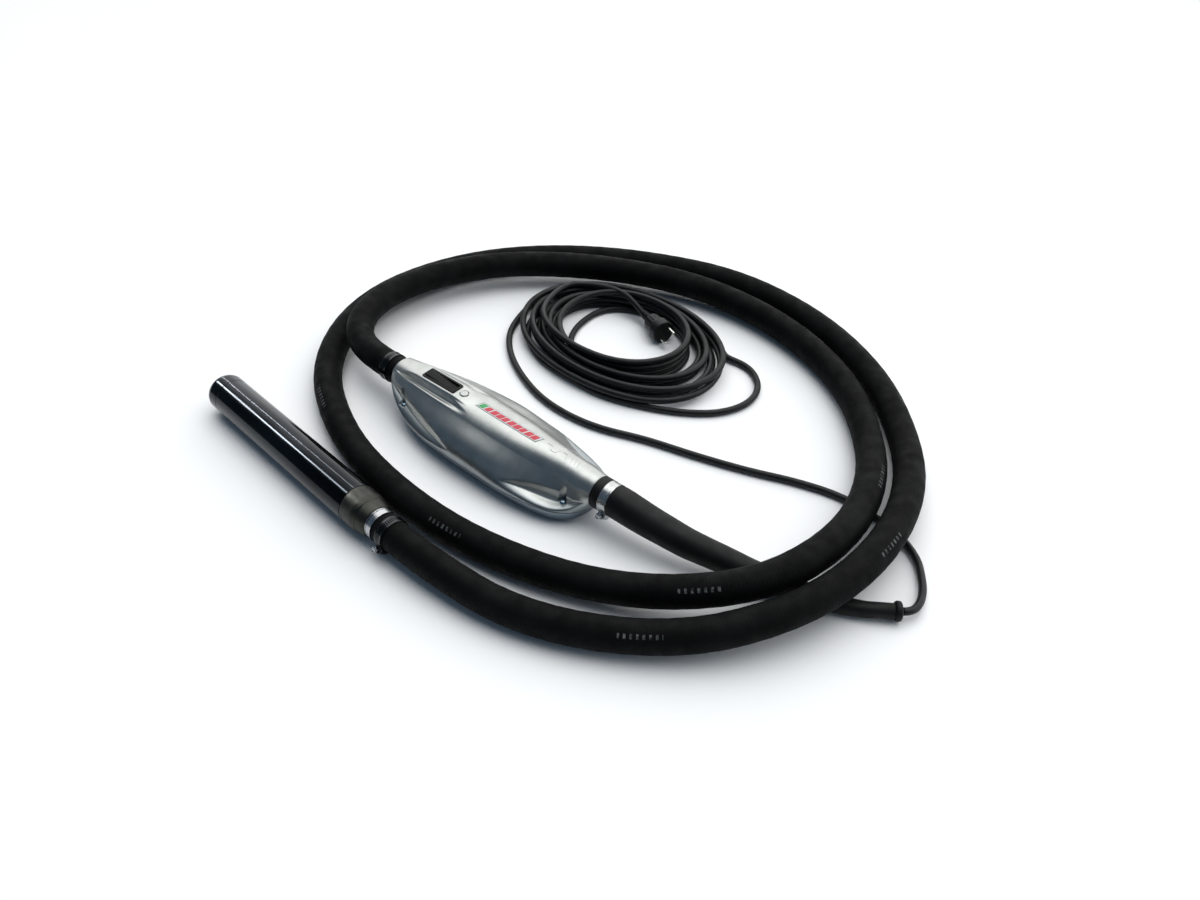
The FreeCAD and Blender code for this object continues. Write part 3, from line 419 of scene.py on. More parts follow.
def tube_rings(path, radii, sides):
    """Rings square to the path, whose first point lies on the side of the path."""
    way = np.gradient(path, axis=0)
    way /= np.linalg.norm(way, axis=1)[:, None]
    side = np.cross(way, [0.0, 0.0, 1.0])
    side /= np.linalg.norm(side, axis=1)[:, None]
    top = np.cross(side, way)
    angle = circle(sides)
    spokes = (
        np.cos(angle)[None, :, None] * side[:, None, :]
        + np.sin(angle)[None, :, None] * top[:, None, :])
    if radii.ndim == 1:
        radii = radii[:, None]
    return path[:, None, :] + radii[:, :, None] * spokes


def rounded_profile(corners, radius, steps=4):
    """Stations and radii of a turned piece, with its inner corners rounded."""
    points = [np.array(corner, float) for corner in corners]
    outline = [points[0]]
    for before, corner, after in zip(points, points[1:], points[2:]):
        back, ahead = before - corner, after - corner
        reach_back = min(radius, np.linalg.norm(back) * 0.45)
        reach_ahead = min(radius, np.linalg.norm(ahead) * 0.45)
        first = corner + back / np.linalg.norm(back) * reach_back
        last = corner + ahead / np.linalg.norm(ahead) * reach_ahead
        for step in range(steps + 1):
            share = step / steps
            outline.append(
                (1 - share) ** 2 * first + 2 * share * (1 - share) * corner + share ** 2 * last)
    return np.array(outline + [points[-1]])


def ringed(name, rows, finish, place):
    """A closed piece from rings of points, in its place."""
    mesh = grid_mesh(name, rows)
    clean(mesh)
    mesh.transform(place)
    return add_object(name, mesh, finish)


def lathe(name, corners, finish, place, rounding, sides):
    """A turned piece about its own X axis."""
    outline = rounded_profile(corners, rounding)
    angle = circle(sides)
    rows = np.stack([
        np.broadcast_to(outline[:, 0, None], (len(outline), sides)),
        outline[:, 1, None] * np.cos(angle), outline[:, 1, None] * np.sin(angle)], -1)
    return ringed(name, rows, finish, place)


def apply_modifier(item, kind, **settings):
    modifier = item.modifiers.new(kind.lower(), kind)
    for key, value in settings.items():
        setattr(modifier, key, value)
    evaluated = item.evaluated_get(bpy.context.evaluated_depsgraph_get())
    mesh = bpy.data.meshes.new_from_object(evaluated)
    old = item.data
    item.modifiers.clear()
    item.data = mesh
    bpy.data.meshes.remove(old)
    return item


def carve(item, cutters):
    for cutter in cutters:
        apply_modifier(item, "BOOLEAN", object=cutter, operation="DIFFERENCE", solver="EXACT")
        bpy.data.objects.remove(cutter)
    return item


def prism(name, outline, low, high, finish, place=Matrix.Identity(4), bevel=0.0):
    """An upright prism on an outline of x and y."""
    work = bmesh.new()
    base = [work.verts.new((x * MM, y * MM, low * MM)) for x, y in outline]
    face = work.faces.new(base)
    top = bmesh.ops.extrude_face_region(work, geom=[face])
    lifted = [element for element in top["geom"] if isinstance(element, bmesh.types.BMVert)]
    bmesh.ops.translate(work, verts=lifted, vec=(0, 0, (high - low) * MM))
    bmesh.ops.recalc_face_normals(work, faces=work.faces)
    if bevel:
        bmesh.ops.bevel(
            work, geom=work.edges[:], offset=bevel * MM, segments=3, profile=0.6, affect="EDGES",
            clamp_overlap=True)
    mesh = built(name, work)
    mesh.transform(place)
    item = add_object(name, mesh, finish)
    smooth_by_angle(item)
    return item


def smooth_by_angle(item, degrees=35.0):
    mesh = item.data
    work = bmesh.new()
    work.from_mesh(mesh)
    for face in work.faces:
        face.smooth = True
    for edge in work.edges:
        if len(edge.link_faces) == 2:
            edge.smooth = edge.calc_face_angle(0) < math.radians(degrees)
    work.to_mesh(mesh)
    work.free()


def rounded_box(x0, x1, y0, y1, radius, steps=5):
    """Outline of a rectangle with round corners."""
    outline = []
    for x, y, start in (
            (x1 - radius, y1 - radius, 0), (x0 + radius, y1 - radius, 90),
            (x0 + radius, y0 + radius, 180), (x1 - radius, y0 + radius, 270)):
        for step in range(steps + 1):
            angle = math.radians(start + 90 * step / steps)
            outline.append((x + radius * math.cos(angle), y + radius * math.sin(angle)))
    return outline


def centred_box(x, half_length, half_width, radius, steps=5):
    return rounded_box(x - half_length, x + half_length, -half_width, half_width, radius, steps)


def sharp_box(half_length, half_width):
    return [(-half_length, -half_width), (half_length, -half_width), (half_length, half_width),
            (-half_length, half_width)]


def merged(name, items):
    """Joins several objects into one, keeping their materials."""
    bpy.ops.object.select_all(action="DESELECT")
    for item in items:
        item.select_set(True)
    bpy.context.view_layer.objects.active = items[0]
    bpy.ops.object.join()
    items[0].name = name
    return items[0]


# Cords

HOSE_RADIUS = 20.0
CABLE_RADIUS = 4.75
HOSE_ROUTE = [
    (20, -199, 26.5), (90, -204.5, 26.5), (240, -191, 20.3), (386, -112, 27), (470, -8, 46),
    (496, 108, 46), (480, 232, 32.5), (430, 338, 20.5), (322, 450, 20.3), (180, 517, 20.3),
    (20, 533, 20.3), (-132, 480, 20.3), (-265, 392, 20.3), (-360, 265, 20.3), (-386, 105, 20.3),
    (-308, -38, 20.3), (-165, -120, 20.3), (-10, -150, 20.3), (145, -143, 20.3), (294, -97, 25),
    (411, -20, 49.5), (450, 83, 49.5), (441, 203, 33), (393, 310, 21), (288, 418, 20.3),
    (140, 476, 22), (-15, 473, 27.5), (-158, 411, 32), (-274, 318, 36.5), (-329, 220, 41),
    (-342, 137, 45.5), (-332, 78, 48), (-307, 36, 48.5), (-270, 9, 48), (-219, 0, 48),
    (-168, 0, 48),
]
CABLE_ROUTE = [
    (547.08, 97.36, 12.1), (555.17, 103.24, 12.1), (556.5, 122, 10.2), (549.5, 143.5, 8.4),
    (537.5, 163.5, 7), (522.5, 184.5, 5.8), (496, 203, 5.1), (458, 215.5, 5), (402, 222, 5),
    (343, 208, 5), (283, 184, 5), (213, 163.5, 5), (143, 147, 5), (83, 124, 5), (30, 117, 5),
    (-25, 121, 5), (-80, 140, 5), (-130, 167, 5), (-170, 205, 5), (-190, 250, 5),
]
LOOSE_TURN = [
    (118, 368, 6), (160, 372, 5), (196, 344, 5), (207, 303, 5), (190, 259, 5), (150, 225, 5),
    (95, 198, 5), (35, 180, 5), (-20, 181, 5),
]
TAIL_ROUTE = [
    (-168, 330, 33.25), (-134, 357, 34), (-100, 369, 34.6), (-74, 371, 33), (-54, 369.5, 25),
    (-36, 366, 18.6)]
COIL_OUTER = (-18.0, 293.5, 181.0, 118.75)
COIL_INNER = (-27.0, 304.0, 96.75, 78.75)
COIL_STEPS = 16
COIL_TURNS = 12
LAYER = 9.5
LOOSE_START, LOOSE_END = 0.39, 0.79  # Turns that LOOSE_TURN takes the place of.
STRAY_TURN, STRAY_REACH = 3.97, 0.24  # The strand that strays into the hole.


def ease(value):
    """A smooth step from 0 to 1 as the value goes from 0 to 1."""
    value = min(1.0, max(0.0, value))
    return value * value * (3 - 2 * value)


def coil_depth(turn):
    """Place across the coil at a turn: 1 on its outer side and 0 on its inner side.
    The winding goes inwards to turn 4, outwards to turn 8 and inwards again to turn 11.
    The last turn lies on top and leads to the plug."""
    if turn < 1:
        return 1.0 - 0.25 * ease((turn - 0.75) / 0.3)
    if turn < 8:
        stray = max(0.0, 1 - ((turn - STRAY_TURN) / STRAY_REACH) ** 2) ** 2
        return abs(turn - 4) / 4 - 0.25 * stray
    if turn < 11:
        return max(0.12, 1 - (turn - 8) * 0.36)
    return 0.12 + 0.03 * ease((turn - 11) / 0.3) + 0.49 * ease((turn - 11.72) / 0.36)


def coil_height(turn):
    """Height of a turn's centre line: it climbs by a layer three times."""
    rise = ease((turn - 4.2) / 0.3) + ease((turn - 7.85) / 0.3) + ease((turn - 10.9) / 0.3)
    return CABLE_RADIUS + LAYER * rise


def coil_slack(angle):
    """How far a turn may stray at an angle, which is most on the left and right sides."""
    across = abs(math.cos(angle))
    front = max(0.0, -math.sin(angle))
    return 6.0 * across ** 2 + 0.9 * front


def coil_points():
    """The wound part of the mains cable, clockwise from its left side."""
    drift = random.Random(7)
    waves = [
        (drift.uniform(-1, 1), drift.uniform(0, 2 * math.pi), count)
        for count in (0.37, 0.61, 1.13, 1.71)]
    points = []
    loose_done = False
    for step in range(COIL_TURNS * COIL_STEPS):
        turn = step / COIL_STEPS
        if LOOSE_START < turn < LOOSE_END:
            if not loose_done:
                points += LOOSE_TURN
                loose_done = True
            continue
        angle = math.pi - 2 * math.pi * turn
        share = coil_depth(turn)
        centre_x, centre_y, long, short = [
            inner + (outer - inner) * share for inner, outer in zip(COIL_INNER, COIL_OUTER)]
        stray = sum(
            size * math.sin(start + turn * 2 * math.pi * count) for size, start, count in waves)
        stray = max(-1.0, min(1.0, stray * 0.8)) * coil_slack(angle) * ease(turn / 1.2)
        if share > 0.85 and stray > 0:
            stray *= 0.3
        if share < 0.15 and stray < 0:
            stray *= 0.3
        lean = (math.cos(angle) - math.sin(angle)) / math.sqrt(2)
        swell = 1 + 0.07 * share * max(0.0, lean) ** 6
        points.append((
            centre_x + swell * (long + stray) * math.cos(angle),
            centre_y + swell * (short + stray) * math.sin(angle), coil_height(turn)))
    return points


def route_curve(name, points):
    """A smooth line through the space of its control points, in metres."""
    curve = bpy.data.curves.new(name, "CURVE")
    curve.dimensions = "3D"
    spline = curve.splines.new("NURBS")
    spline.points.add(len(points) - 1)
    for place, point in zip(spline.points, points):
        place.co = (point[0] * MM, point[1] * MM, point[2] * MM, 1)
    spline.order_u = 3
    spline.use_endpoint_u = True
    curve.resolution_u = 12
    return linked(name, curve)


def route_path(name, points, step):
    """Evenly spaced points in millimetres, read from the route's own spline."""
    guide = route_curve(name, points)
    line = bpy.data.meshes.new_from_object(guide)
    path = np.array([vertex.co for vertex in line.vertices]) / MM
    bpy.data.objects.remove(guide)
    bpy.data.meshes.remove(line)
    return spaced(path, step)


def add_hose():
    path = route_path("hose_route", HOSE_ROUTE[::-1], 3.2)
    along = lengths_along(path)
    sides = 48
    angle = circle(sides)
    winding = 0.10 * np.sin(2 * math.pi * along[:, None] / 26.0 + angle[None, :])
    swell = 0.12 * np.sin(along / 71.0) + 0.10 * np.sin(along / 29.0 + 1.3)
    radii = HOSE_RADIUS - 0.25 + winding + swell[:, None]
    mesh = grid_mesh("rubber_hose", tube_rings(path, radii, sides), along * MM)
    item = piece(add_object("rubber_hose", mesh, "hose"), "black_rubber", "main_hose", "hose_lead")
    return item, path, along[-1]


def add_cable():
    points = CABLE_ROUTE + coil_points() + TAIL_ROUTE
    path = route_path("cable_route", points, 2.5)
    along = lengths_along(path)
    radii = CABLE_RADIUS - 0.05 + 0.05 * np.sin(along / 37.0)
    mesh = grid_mesh("mains_cable", tube_rings(path, radii, 20), along * MM)
    item = piece(
        add_object("mains_cable", mesh, "cable_rubber"), "cable_rubber",
        "mains_cable_run", "cable_coil", "cable_tail")
    return item, path, along[-1]


# Converter body

# Half sections of the body: place, six points (y, z) from the spine down, and the bottom height.
HULL = [
    (-168, [(0, 71), (10, 69), (17, 64), (22, 54), (23, 46), (18, 34)], 25.5),
    (-150, [(0, 73), (12, 71), (20, 64), (30, 53), (35, 40), (30, 20)], 12),
    (-115, [(0, 76), (14, 74), (25, 65), (42, 50), (49, 33), (44, 10)], 3),
    (-60, [(0, 76), (15, 74), (28, 66), (50, 50), (60, 32), (53, 8)], 0),
    (0, [(0, 73), (15, 71), (29, 64), (53, 50), (63, 31), (55, 7)], 0),
    (60, [(0, 71), (15, 69), (28, 61), (50, 46), (63, 28), (55, 6)], 0),
    (110, [(0, 70), (14, 67), (25, 57), (41, 42), (58, 26), (53, 6)], 0),
    (145, [(0, 69), (12, 66), (23, 54), (33, 39), (50, 24), (46, 6)], 0),
    (168, [(0, 67.5), (12, 64.5), (22, 54), (27.5, 41), (37, 25), (33, 9)], 4),
    (180, [(0, 66.5), (11.5, 63.5), (20, 54), (23, 43), (24, 31), (19, 19)], 14),
    (187, [(0, 65.5), (11, 62.5), (18.6, 54.8), (21.5, 44), (18.6, 33), (11, 25.5)], 24),
]
BOTTOM_SHARE = 0.72
FRONT_NECK, REAR_NECK = HULL[0][0], HULL[-1][0]
FRONT_HEIGHT, REAR_HEIGHT = 48.0, 44.0
PAD_EDGE = 13.5
SEAM_LOW, SEAM_HIGH = 21.5, 22.5
SWITCH_X, SWITCH_LENGTH, SWITCH_WIDTH = -85.0, 60.0, 20.0
BOSS_X = -44.0
SCREWS = [(-130.5, -34.5, 33.0), (-130.5, 34.5, 33.0), (154.5, -30.5, 27.5), (154.5, 30.5, 27.5)]
# Hollows round the screws: start, widest place and end along the body; the place where the edges
# are given; for the upper edge and the lip, a share of the side, its growth with the width and
# its slope; the depth; and how far across the deepest line is.
SCOOPS = [
    ((-170, -128, -18), -128, ((0.33, -0.20, 0.0012), (0.40, 0.19, 0.0010)), 10.0, 0.68),
    ((72, 140, 182), 138, ((0.40, -0.22, -0.0006), (0.44, 0.12, -0.0006)), 8.5, 0.50),
]
HULL_STATIONS, SIDE_POINTS = 225, 97


def smooth_row(stations, values, places):
    """Cubic interpolation that never overshoots."""
    stations, values = np.array(stations, float), np.array(values, float)
    step = np.diff(stations)
    slope = np.diff(values) / step
    tangent = np.zeros(len(values))
    tangent[0], tangent[-1] = slope[0], slope[-1]
    for index in range(1, len(values) - 1):
        if slope[index - 1] * slope[index] > 0:
            wide, narrow = 2 * step[index] + step[index - 1], step[index] + 2 * step[index - 1]
            tangent[index] = (wide + narrow) / (wide / slope[index - 1] + narrow / slope[index])
    index = np.clip(np.searchsorted(stations, places) - 1, 0, len(step) - 1)
    share = (places - stations[index]) / step[index]
    return (
        (1 + 2 * share) * (1 - share) ** 2 * values[index]
        + share * (1 - share) ** 2 * step[index] * tangent[index]
        + share ** 2 * (3 - 2 * share) * values[index + 1]
        - share ** 2 * (1 - share) * step[index] * tangent[index + 1])


def hull_lines(places):
    """Half sections at the places: array of places, seven points, y and z."""
    stations = [row[0] for row in HULL]
    lines = np.zeros((len(places), 7, 2))
    for point in range(6):
        for axis in range(2):
            lines[:, point, axis] = smooth_row(
                stations, [row[1][point][axis] for row in HULL], places)
    lines[:, 6, 0] = BOTTOM_SHARE * lines[:, 5, 0]
    lines[:, 6, 1] = smooth_row(stations, [row[2] for row in HULL], places)
    return lines


def section(x):
    """Half section at one place."""
    return hull_lines(np.array([float(x)]))[0]


def fall(line, y):
    """How far the crown falls from its spine at y, by even powers of y."""
    (_, top), (y1, z1), (y2, z2) = line[:3]
    first, second = np.linalg.solve([[y1 ** 2, y1 ** 4], [y2 ** 2, y2 ** 4]], [top - z1, top - z2])
    return first * y * y + second * y ** 4


def pad_lift(x, y):
    """The switch pad stands a little out of the crown."""
    inside = ease((y - PAD_EDGE - 1.2) / -2.0)
    reach = ease((x + 150) / 30) * ease((-22 - x) / 32)
    return inside * reach * (fall(section(x), y) + 0.35)


def top_height(x, y):
    """Height of the body's top at a place."""
    line = section(x)
    return line[0, 1] - fall(line, y) + pad_lift(x, abs(y))


def blend(t, start, end, first, second):
    """From first to second as t goes from start to end."""
    return (end - t) / (end - start) * first + (t - start) / (end - start) * second


def side_curve(corners, share):
    """Points on a smooth curve through the corners, at shares from 0 to 1 of its length."""
    corners = np.vstack([2 * corners[0] - corners[1], corners, 2 * corners[-1] - corners[-2]])
    knots = np.concatenate([
        [0.0], np.cumsum(np.linalg.norm(np.diff(corners, axis=0), axis=1) ** 0.5)])
    fine = []
    for index in range(1, len(corners) - 2):
        a, b, c, d = corners[index - 1:index + 3]
        ta, tb, tc, td = knots[index - 1:index + 3]
        t = np.linspace(tb, tc, 16, endpoint=False)[:, None]
        ab, bc, cd = blend(t, ta, tb, a, b), blend(t, tb, tc, b, c), blend(t, tc, td, c, d)
        fine.append(blend(t, tb, tc, blend(t, ta, tc, ab, bc), blend(t, tb, td, bc, cd)))
    fine = np.vstack(fine + [corners[-2][None, :]])
    return on_path(fine, share * lengths_along(fine)[-1])


def flute_depth(x, y, crease):
    """Grooves beside the switch pad: a steep wall, then a floor that rises to the crease."""
    depth = 6.4 * ease((x + 167) / 30) * ease((-16 - x) / 50)
    low = PAD_EDGE + 0.4 + 5.0 * ease((x + 62) / 45)
    share = (y - low) / (crease - 1.0 - low)
    if not 0 < share < 1:
        return 0.0
    return depth * ease(share / 0.42) * (1 - ease((share - 0.3) / 0.7))


def lens(x, start, widest, end):
    """Width of a lens-shaped hollow along the body, from 0 at its tips to 1."""
    share = (x - widest) / (end - widest if x > widest else widest - start)
    return max(0.0, 1 - share * share)


def hollow(share, upper, lip, depth, deepest):
    """A hollow that deepens slowly from its upper edge and climbs to a sharp lower lip."""
    if not upper < share < lip:
        return 0.0
    middle = upper + deepest * (lip - upper)
    if share < middle:
        return depth * ease((share - upper) / (middle - upper))
    return depth * (lip - share) / (lip - middle)


def scoop_depth(x, share):
    """Depth of the hollows below the crease at a place along the body and a share of its side."""
    total = 0.0
    for reach, middle, edges, depth, deepest in SCOOPS:
        width = lens(x, *reach)
        upper, lip = (base + grow * width + slope * (x - middle) for base, grow, slope in edges)
        total += hollow(share, upper, lip, depth * width, deepest)
    return total


def hull_rings(inset=0.0):
    """Rings of points round the body, from its spine down one side and up the other, and how
    deep in a hollow each point is, with a minus on the +Y side. That depth is the mask for a
    painted highlight in the -Y hollows and painted shade in the +Y hollows."""
    places = np.unique(np.concatenate([
        np.linspace(FRONT_NECK, REAR_NECK, HULL_STATIONS),
        [FRONT_NECK + 0.5, FRONT_NECK + 1.2, REAR_NECK - 0.5, REAR_NECK - 1.2]]))
    lines = hull_lines(places)
    share = np.linspace(0, 1, SIDE_POINTS)[1:]
    rings, hollow_painted_light_and_shade = [], []
    for x, line in zip(places, lines):
        crease = line[2, 0]
        edge = min(PAD_EDGE, crease * 0.8)
        half = []
        for y in np.concatenate([np.linspace(0, edge, 9), np.linspace(edge, crease, 21)[1:]]):
            half.append((
                y, line[0, 1] - fall(line, y) + pad_lift(x, y) - flute_depth(x, y, crease)))
        side = side_curve(line[2:7], share)
        way = np.gradient(side, axis=0)
        way /= np.linalg.norm(way, axis=1)[:, None]
        depths = [scoop_depth(x, place) for place in share]
        half += [
            (y + dz * depth, z - dy * depth) for (y, z), (dy, dz), depth in zip(side, way, depths)]
        well = np.zeros(len(half) + 4)
        well[len(half) - len(depths):len(half)] = np.array(depths) / 8
        for step in (0.75, 0.5, 0.25):
            half.append((line[6, 0] * step, line[6, 1]))
        half.append((0.0, line[6, 1]))
        half = np.array(half)
        end = 0.9 * (1 - ease(min(x - FRONT_NECK, REAR_NECK - x) / 1.6)) + inset
        middle = np.array([0.0, (half[0, 1] + half[-1, 1]) / 2])
        reach = np.linalg.norm(half - middle, axis=1)[:, None]
        half = middle + (half - middle) * (1 - end / reach)
        half[0, 0] = half[-1, 0] = 0.0
        ring = np.vstack([half, half[-2:0:-1] * [-1, 1]])
        rings.append(np.column_stack([np.full(len(ring), x), ring]))
        # Minus on the +Y side, where the shader paints shade, and plus on the -Y side, where it
        # paints a highlight.
        hollow_painted_light_and_shade.append(np.concatenate([-well, well[-2:0:-1]]))
    return np.array(rings), np.array(hollow_painted_light_and_shade)


def sliced(name, mesh, cuts, finish):
    """The part of a closed mesh between level planes, closed again."""
    work = bmesh.new()
    work.from_mesh(mesh)
    for level, outwards in cuts:
        geometry = work.verts[:] + work.edges[:] + work.faces[:]
        result = bmesh.ops.bisect_plane(
            work, geom=geometry, plane_co=(0, 0, level * MM), plane_no=(0, 0, outwards),
            clear_outer=True)
        rim = [element for element in result["geom_cut"] if isinstance(element, bmesh.types.BMEdge)]
        filled = bmesh.ops.contextual_create(work, geom=rim)
        for face in filled["faces"]:
            face.smooth = False
    bmesh.ops.recalc_face_normals(work, faces=work.faces)
    return add_object(name, built(name, work), finish)


def screw_pocket(x, y, seat):
    """A pocket that is round towards the body and open outwards."""
    side = 1 if y > 0 else -1
    radius = 5.6
    arc = oval(-radius, -side * radius, np.linspace(0, 180, 17))
    outline = [(x + dx, y + dy) for dx, dy in arc]
    outline += [(x + radius, y + side * 40), (x - radius, y + side * 40)]
    return prism("pocket", outline, seat, 90, "cast_aluminium")


def add_converter():
    rings, hollow_painted_light_and_shade = hull_rings()
    hull = grid_mesh("hull", rings)
    # The hollow attribute carries the painted highlight of the -Y hollows and the painted shade of
    # the +Y hollows.
    hull.attributes.new("hollow", "FLOAT", "POINT").data.foreach_set(
        "value", np.minimum(hollow_painted_light_and_shade, 1).ravel())
    clean(hull)
    seal_hull = grid_mesh("seal_hull", hull_rings(0.7)[0])
    clean(seal_hull)
    top = sliced("converter_cover", hull, [(SEAM_HIGH, -1)], "cast_aluminium")
    base = sliced("converter_base", hull, [(SEAM_LOW, 1)], "cast_aluminium")
    seal = sliced("converter_seal", seal_hull, [(SEAM_LOW, -1), (SEAM_HIGH, 1)], "seal_rubber")
    well = prism(
        "well", centred_box(SWITCH_X, SWITCH_LENGTH / 2, SWITCH_WIDTH / 2, 2.0), 60, 90,
        "cast_aluminium")
    socket = prism("socket", centred_box(BOSS_X, 6.3, 6.3, 6.299, 12), 74.2, 90, "cast_aluminium")
    carve(top, [screw_pocket(*screw) for screw in SCREWS] + [well, socket])
    piece(top, "cast_aluminium", "shell_top")
    piece(base, "cast_aluminium", "shell_bottom")
    piece(seal, "seal_rubber", "shell_seal")


def head_place(station):
    """Place on the head's axis, at a distance from the tip of its nose."""
    return at(*HEAD_NOSE) @ spin(HEAD_TURN, "Z") @ at(station, 0, 0)


# Turned pieces of the head: name, finish, slot, CAD nodes, rounding of their corners, and stations
# along the head with the radius at each.
HEAD_PIECES = [
    ("head_nose", "ground_steel", "ground_steel", ("nose_cap", "nose_seal"), 1.2, [
        (0, 0), (0, 14.5), (1.1, 17.5), (3.6, 21.4), (8.0, 25.0), (12.5, 26.45), (29.6, 26.45),
        (30.0, 26.0), (30.0, 0)]),
    ("head_barrel", "ground_steel", "ground_steel", ("head_tube",), 0.5, [
        (30.05, 20), (30.05, 26.1), (30.5, 26.45), (322.4, 26.45), (322.95, 26.0), (322.95, 20)]),
    ("head_adaptor_cone", "dull_steel", "ground_steel", ("head_adaptor",), 0.6, [
        (323.05, 20), (323.05, 25.8), (323.6, 26.2), (343, 26.2), (345, 26.0), (366.4, 21.9),
        (367, 21.4), (367, 12)]),
    ("head_hose_flange", "bright_steel", "turned_steel", (), 0.35, [
        (367.05, 12), (367.05, 20.2), (367.8, 20.8), (371.0, 20.8), (371.8, 19.9), (372.6, 19.9),
        (373.4, 20.7), (377.2, 20.7), (378.0, 20.0), (378.0, 12)]),
    ("head_wrench_ring", "dull_steel", "ground_steel", (), 0.15, [
        (349.8, 24.2), (350.0, 25.25), (352.2, 24.9), (352.4, 23.9)]),
]
HEAD_SIDES = 128


def add_head():
    for name, finish, slot, nodes, rounding, corners in HEAD_PIECES:
        turned = lathe(name, corners, finish, head_place(0), rounding, HEAD_SIDES)
        piece(turned, slot, *nodes)


def band_mesh(name, radius, finish, place, slots):
    """Clamp band with rolled edges, and a row of slots on most clamps."""
    around, across = 240, 12
    work = bmesh.new()
    rows = []
    for index in range(around):
        angle = 2 * math.pi * index / around
        row = []
        for step in range(across + 1):
            x = -6.0 + 12.0 * step / across
            rise = 0.42 * (1 - min(1.0, abs(abs(x) - 5.2) / 0.9) ** 2)
            reach = radius + max(0.0, rise)
            row.append(work.verts.new((
                x * MM, reach * math.sin(angle) * MM, reach * math.cos(angle) * MM)))
        rows.append(row)
    for index in range(around):
        slotted = slots and 15 < index < around - 15 and index % 5 in (0, 1)
        for step in range(across):
            if slotted and 3 <= step <= across - 4:
                continue
            after = rows[(index + 1) % around]
            work.faces.new((rows[index][step], rows[index][step + 1], after[step + 1], after[step]))
    bmesh.ops.recalc_face_normals(work, faces=work.faces)
    for face in work.faces:
        face.smooth = True
    mesh = built(name, work)
    mesh.transform(place)
    item = add_object(name, mesh, finish)
    apply_modifier(item, "SOLIDIFY", thickness=0.7 * MM, offset=0.0)
    smooth_by_angle(item, 50)
    return item


def add_clamp(name, place, roll, radius, finish):
    """Worm-drive clamp: band, pressed housing and slotted hexagon screw; returns the screw."""
    own = place @ spin(roll, "X")
    band = band_mesh(name + "_band", radius + 0.5, finish, own, name != "rear_clamp")
    seat = radius + 0.85
    middle = seat + 3.5
    body = prism(
        name + "_body", centred_box(0, 6.0, 7.5, 2.4), seat - 1.6, seat + 2.8, finish, own, 0.5)
    vault_place = own @ at(0, 0, middle - 0.2) @ spin(90, "X")
    vault = prism(
        name + "_vault", oval(-4.464, 3.9, range(0, 181, 15)), -6.2, 6.2, finish, vault_place, 0.5)
    tongue = prism(
        name + "_tongue", rounded_box(-5.4, 5.4, -15.5, -7.0, 2.0), seat - 1.9, seat - 0.5, finish,
        own, 0.3)
    housing = merged(name + "_housing", [body, vault, tongue])
    screw_place = own @ at(0, 0, middle) @ spin(90, "Z")
    upright = screw_place @ spin(90, "Y")
    head = prism(
        name + "_hexagon", oval(4.0, 4.0, range(0, 360, 60)), 9.1, 13.0, "zinc_steel", upright,
        0.35)
    slot = prism("slot", sharp_box(0.6, 5), 11.6, 15, "zinc_steel", upright)
    carve(head, [slot])
    shank = lathe(
        name + "_shank", [(-9.2, 0), (-9.2, 2.3), (9.2, 2.3), (9.2, 3.4), (9.6, 3.4), (9.6, 0)],
        "zinc_steel", screw_place, 0.2, 32)
    return band, housing, merged(name + "_screw", [head, shank])


def add_clamps():
    front = at(-189.5, 0, FRONT_HEIGHT)
    rear = at(206.2, 0, REAR_HEIGHT)
    screws = []
    for name, node, place, roll, radius, finish in (
            ("head_clamp", "head", head_place(393.0), 132.0, 20.0, "dark_zinc"),
            ("front_clamp", "front", front, 232.0, 20.0, "dark_zinc"),
            ("rear_clamp", "rear", rear, 140.0, 20.0, "zinc_steel")):
        band, housing, screw = add_clamp(name, place, roll, radius, finish)
        piece(band, "zinc_steel", "clamp_band_" + node)
        piece(housing, "zinc_steel", "clamp_housing_" + node)
        screws.append(screw)
    piece(merged("clamp_screw_set", screws), "zinc_steel", "clamp_screws")


# Handle sleeve: centre line and radius of the sleeve.
SLEEVE_ROUTE = [
    (212.3, 0, 44, 20.9), (223, 0, 44, 21), (242, 0.7, 42.3, 20.6), (262, 2.2, 39.8, 19.9),
    (286, 5.2, 36.5, 19.1), (310, 9, 32.5, 18.3), (335, 15.6, 28.2, 17.4), (360, 23, 23.8, 16.5),
    (385, 30.3, 19, 15.6), (410, 38, 15.3, 14.8), (436, 45.6, 13.9, 13.6), (464, 53.5, 12.5, 12.1),
    (490, 62, 11.4, 10.8), (512, 73, 11.4, 9.8), (530.9, 85.6, 12.1, 9.4),
    (539.8, 92.07, 12.1, 9.3),
]


def add_sleeve():
    rows = np.array(SLEEVE_ROUTE)
    reach = lengths_along(rows[:, :3])
    fine = np.linspace(0, reach[-1], 220)
    body = np.column_stack([smooth_row(reach, rows[:, axis], fine) for axis in range(4)])
    neck = [
        (187.1, 19.5), (187.1, 20.6), (187.8, 21), (199.2, 21), (200, 20.4), (200.1, 19.6),
        (212.0, 19.6), (212.2, 20.3)]
    start = np.array([(x, 0, REAR_HEIGHT, radius) for x, radius in neck])
    whole = np.vstack([start, body + [0.5, 0, 0, -0.1]])
    whole[-1, 3] = 8.6
    centres, radii = whole[:, :3], whole[:, 3]
    mesh = grid_mesh(
        "handle_sleeve_cover", tube_rings(centres, radii, 72), lengths_along(centres) * MM)
    piece(
        add_object("handle_sleeve_cover", mesh, "black_rubber"), "black_rubber",
        "handle_sleeve")
    end, before = (Vector(row[:3]) for row in SLEEVE_ROUTE[:-3:-1])
    place = at(*end) @ (end - before).to_track_quat("X", "Z").to_matrix().to_4x4()
    collar = lathe(
        "sleeve_end_bead",
        [
            (-0.5, 4.9), (-0.5, 9.6), (0.4, 10.8), (1.8, 11.7), (5.8, 11.7), (7.2, 10.6),
            (8.2, 7.6), (8.9, 5.6), (8.9, 4.9)],
        "black_rubber", place, 0.9, 64)
    piece(collar, "black_rubber", "sleeve_grommet")


# Switch, label and screws


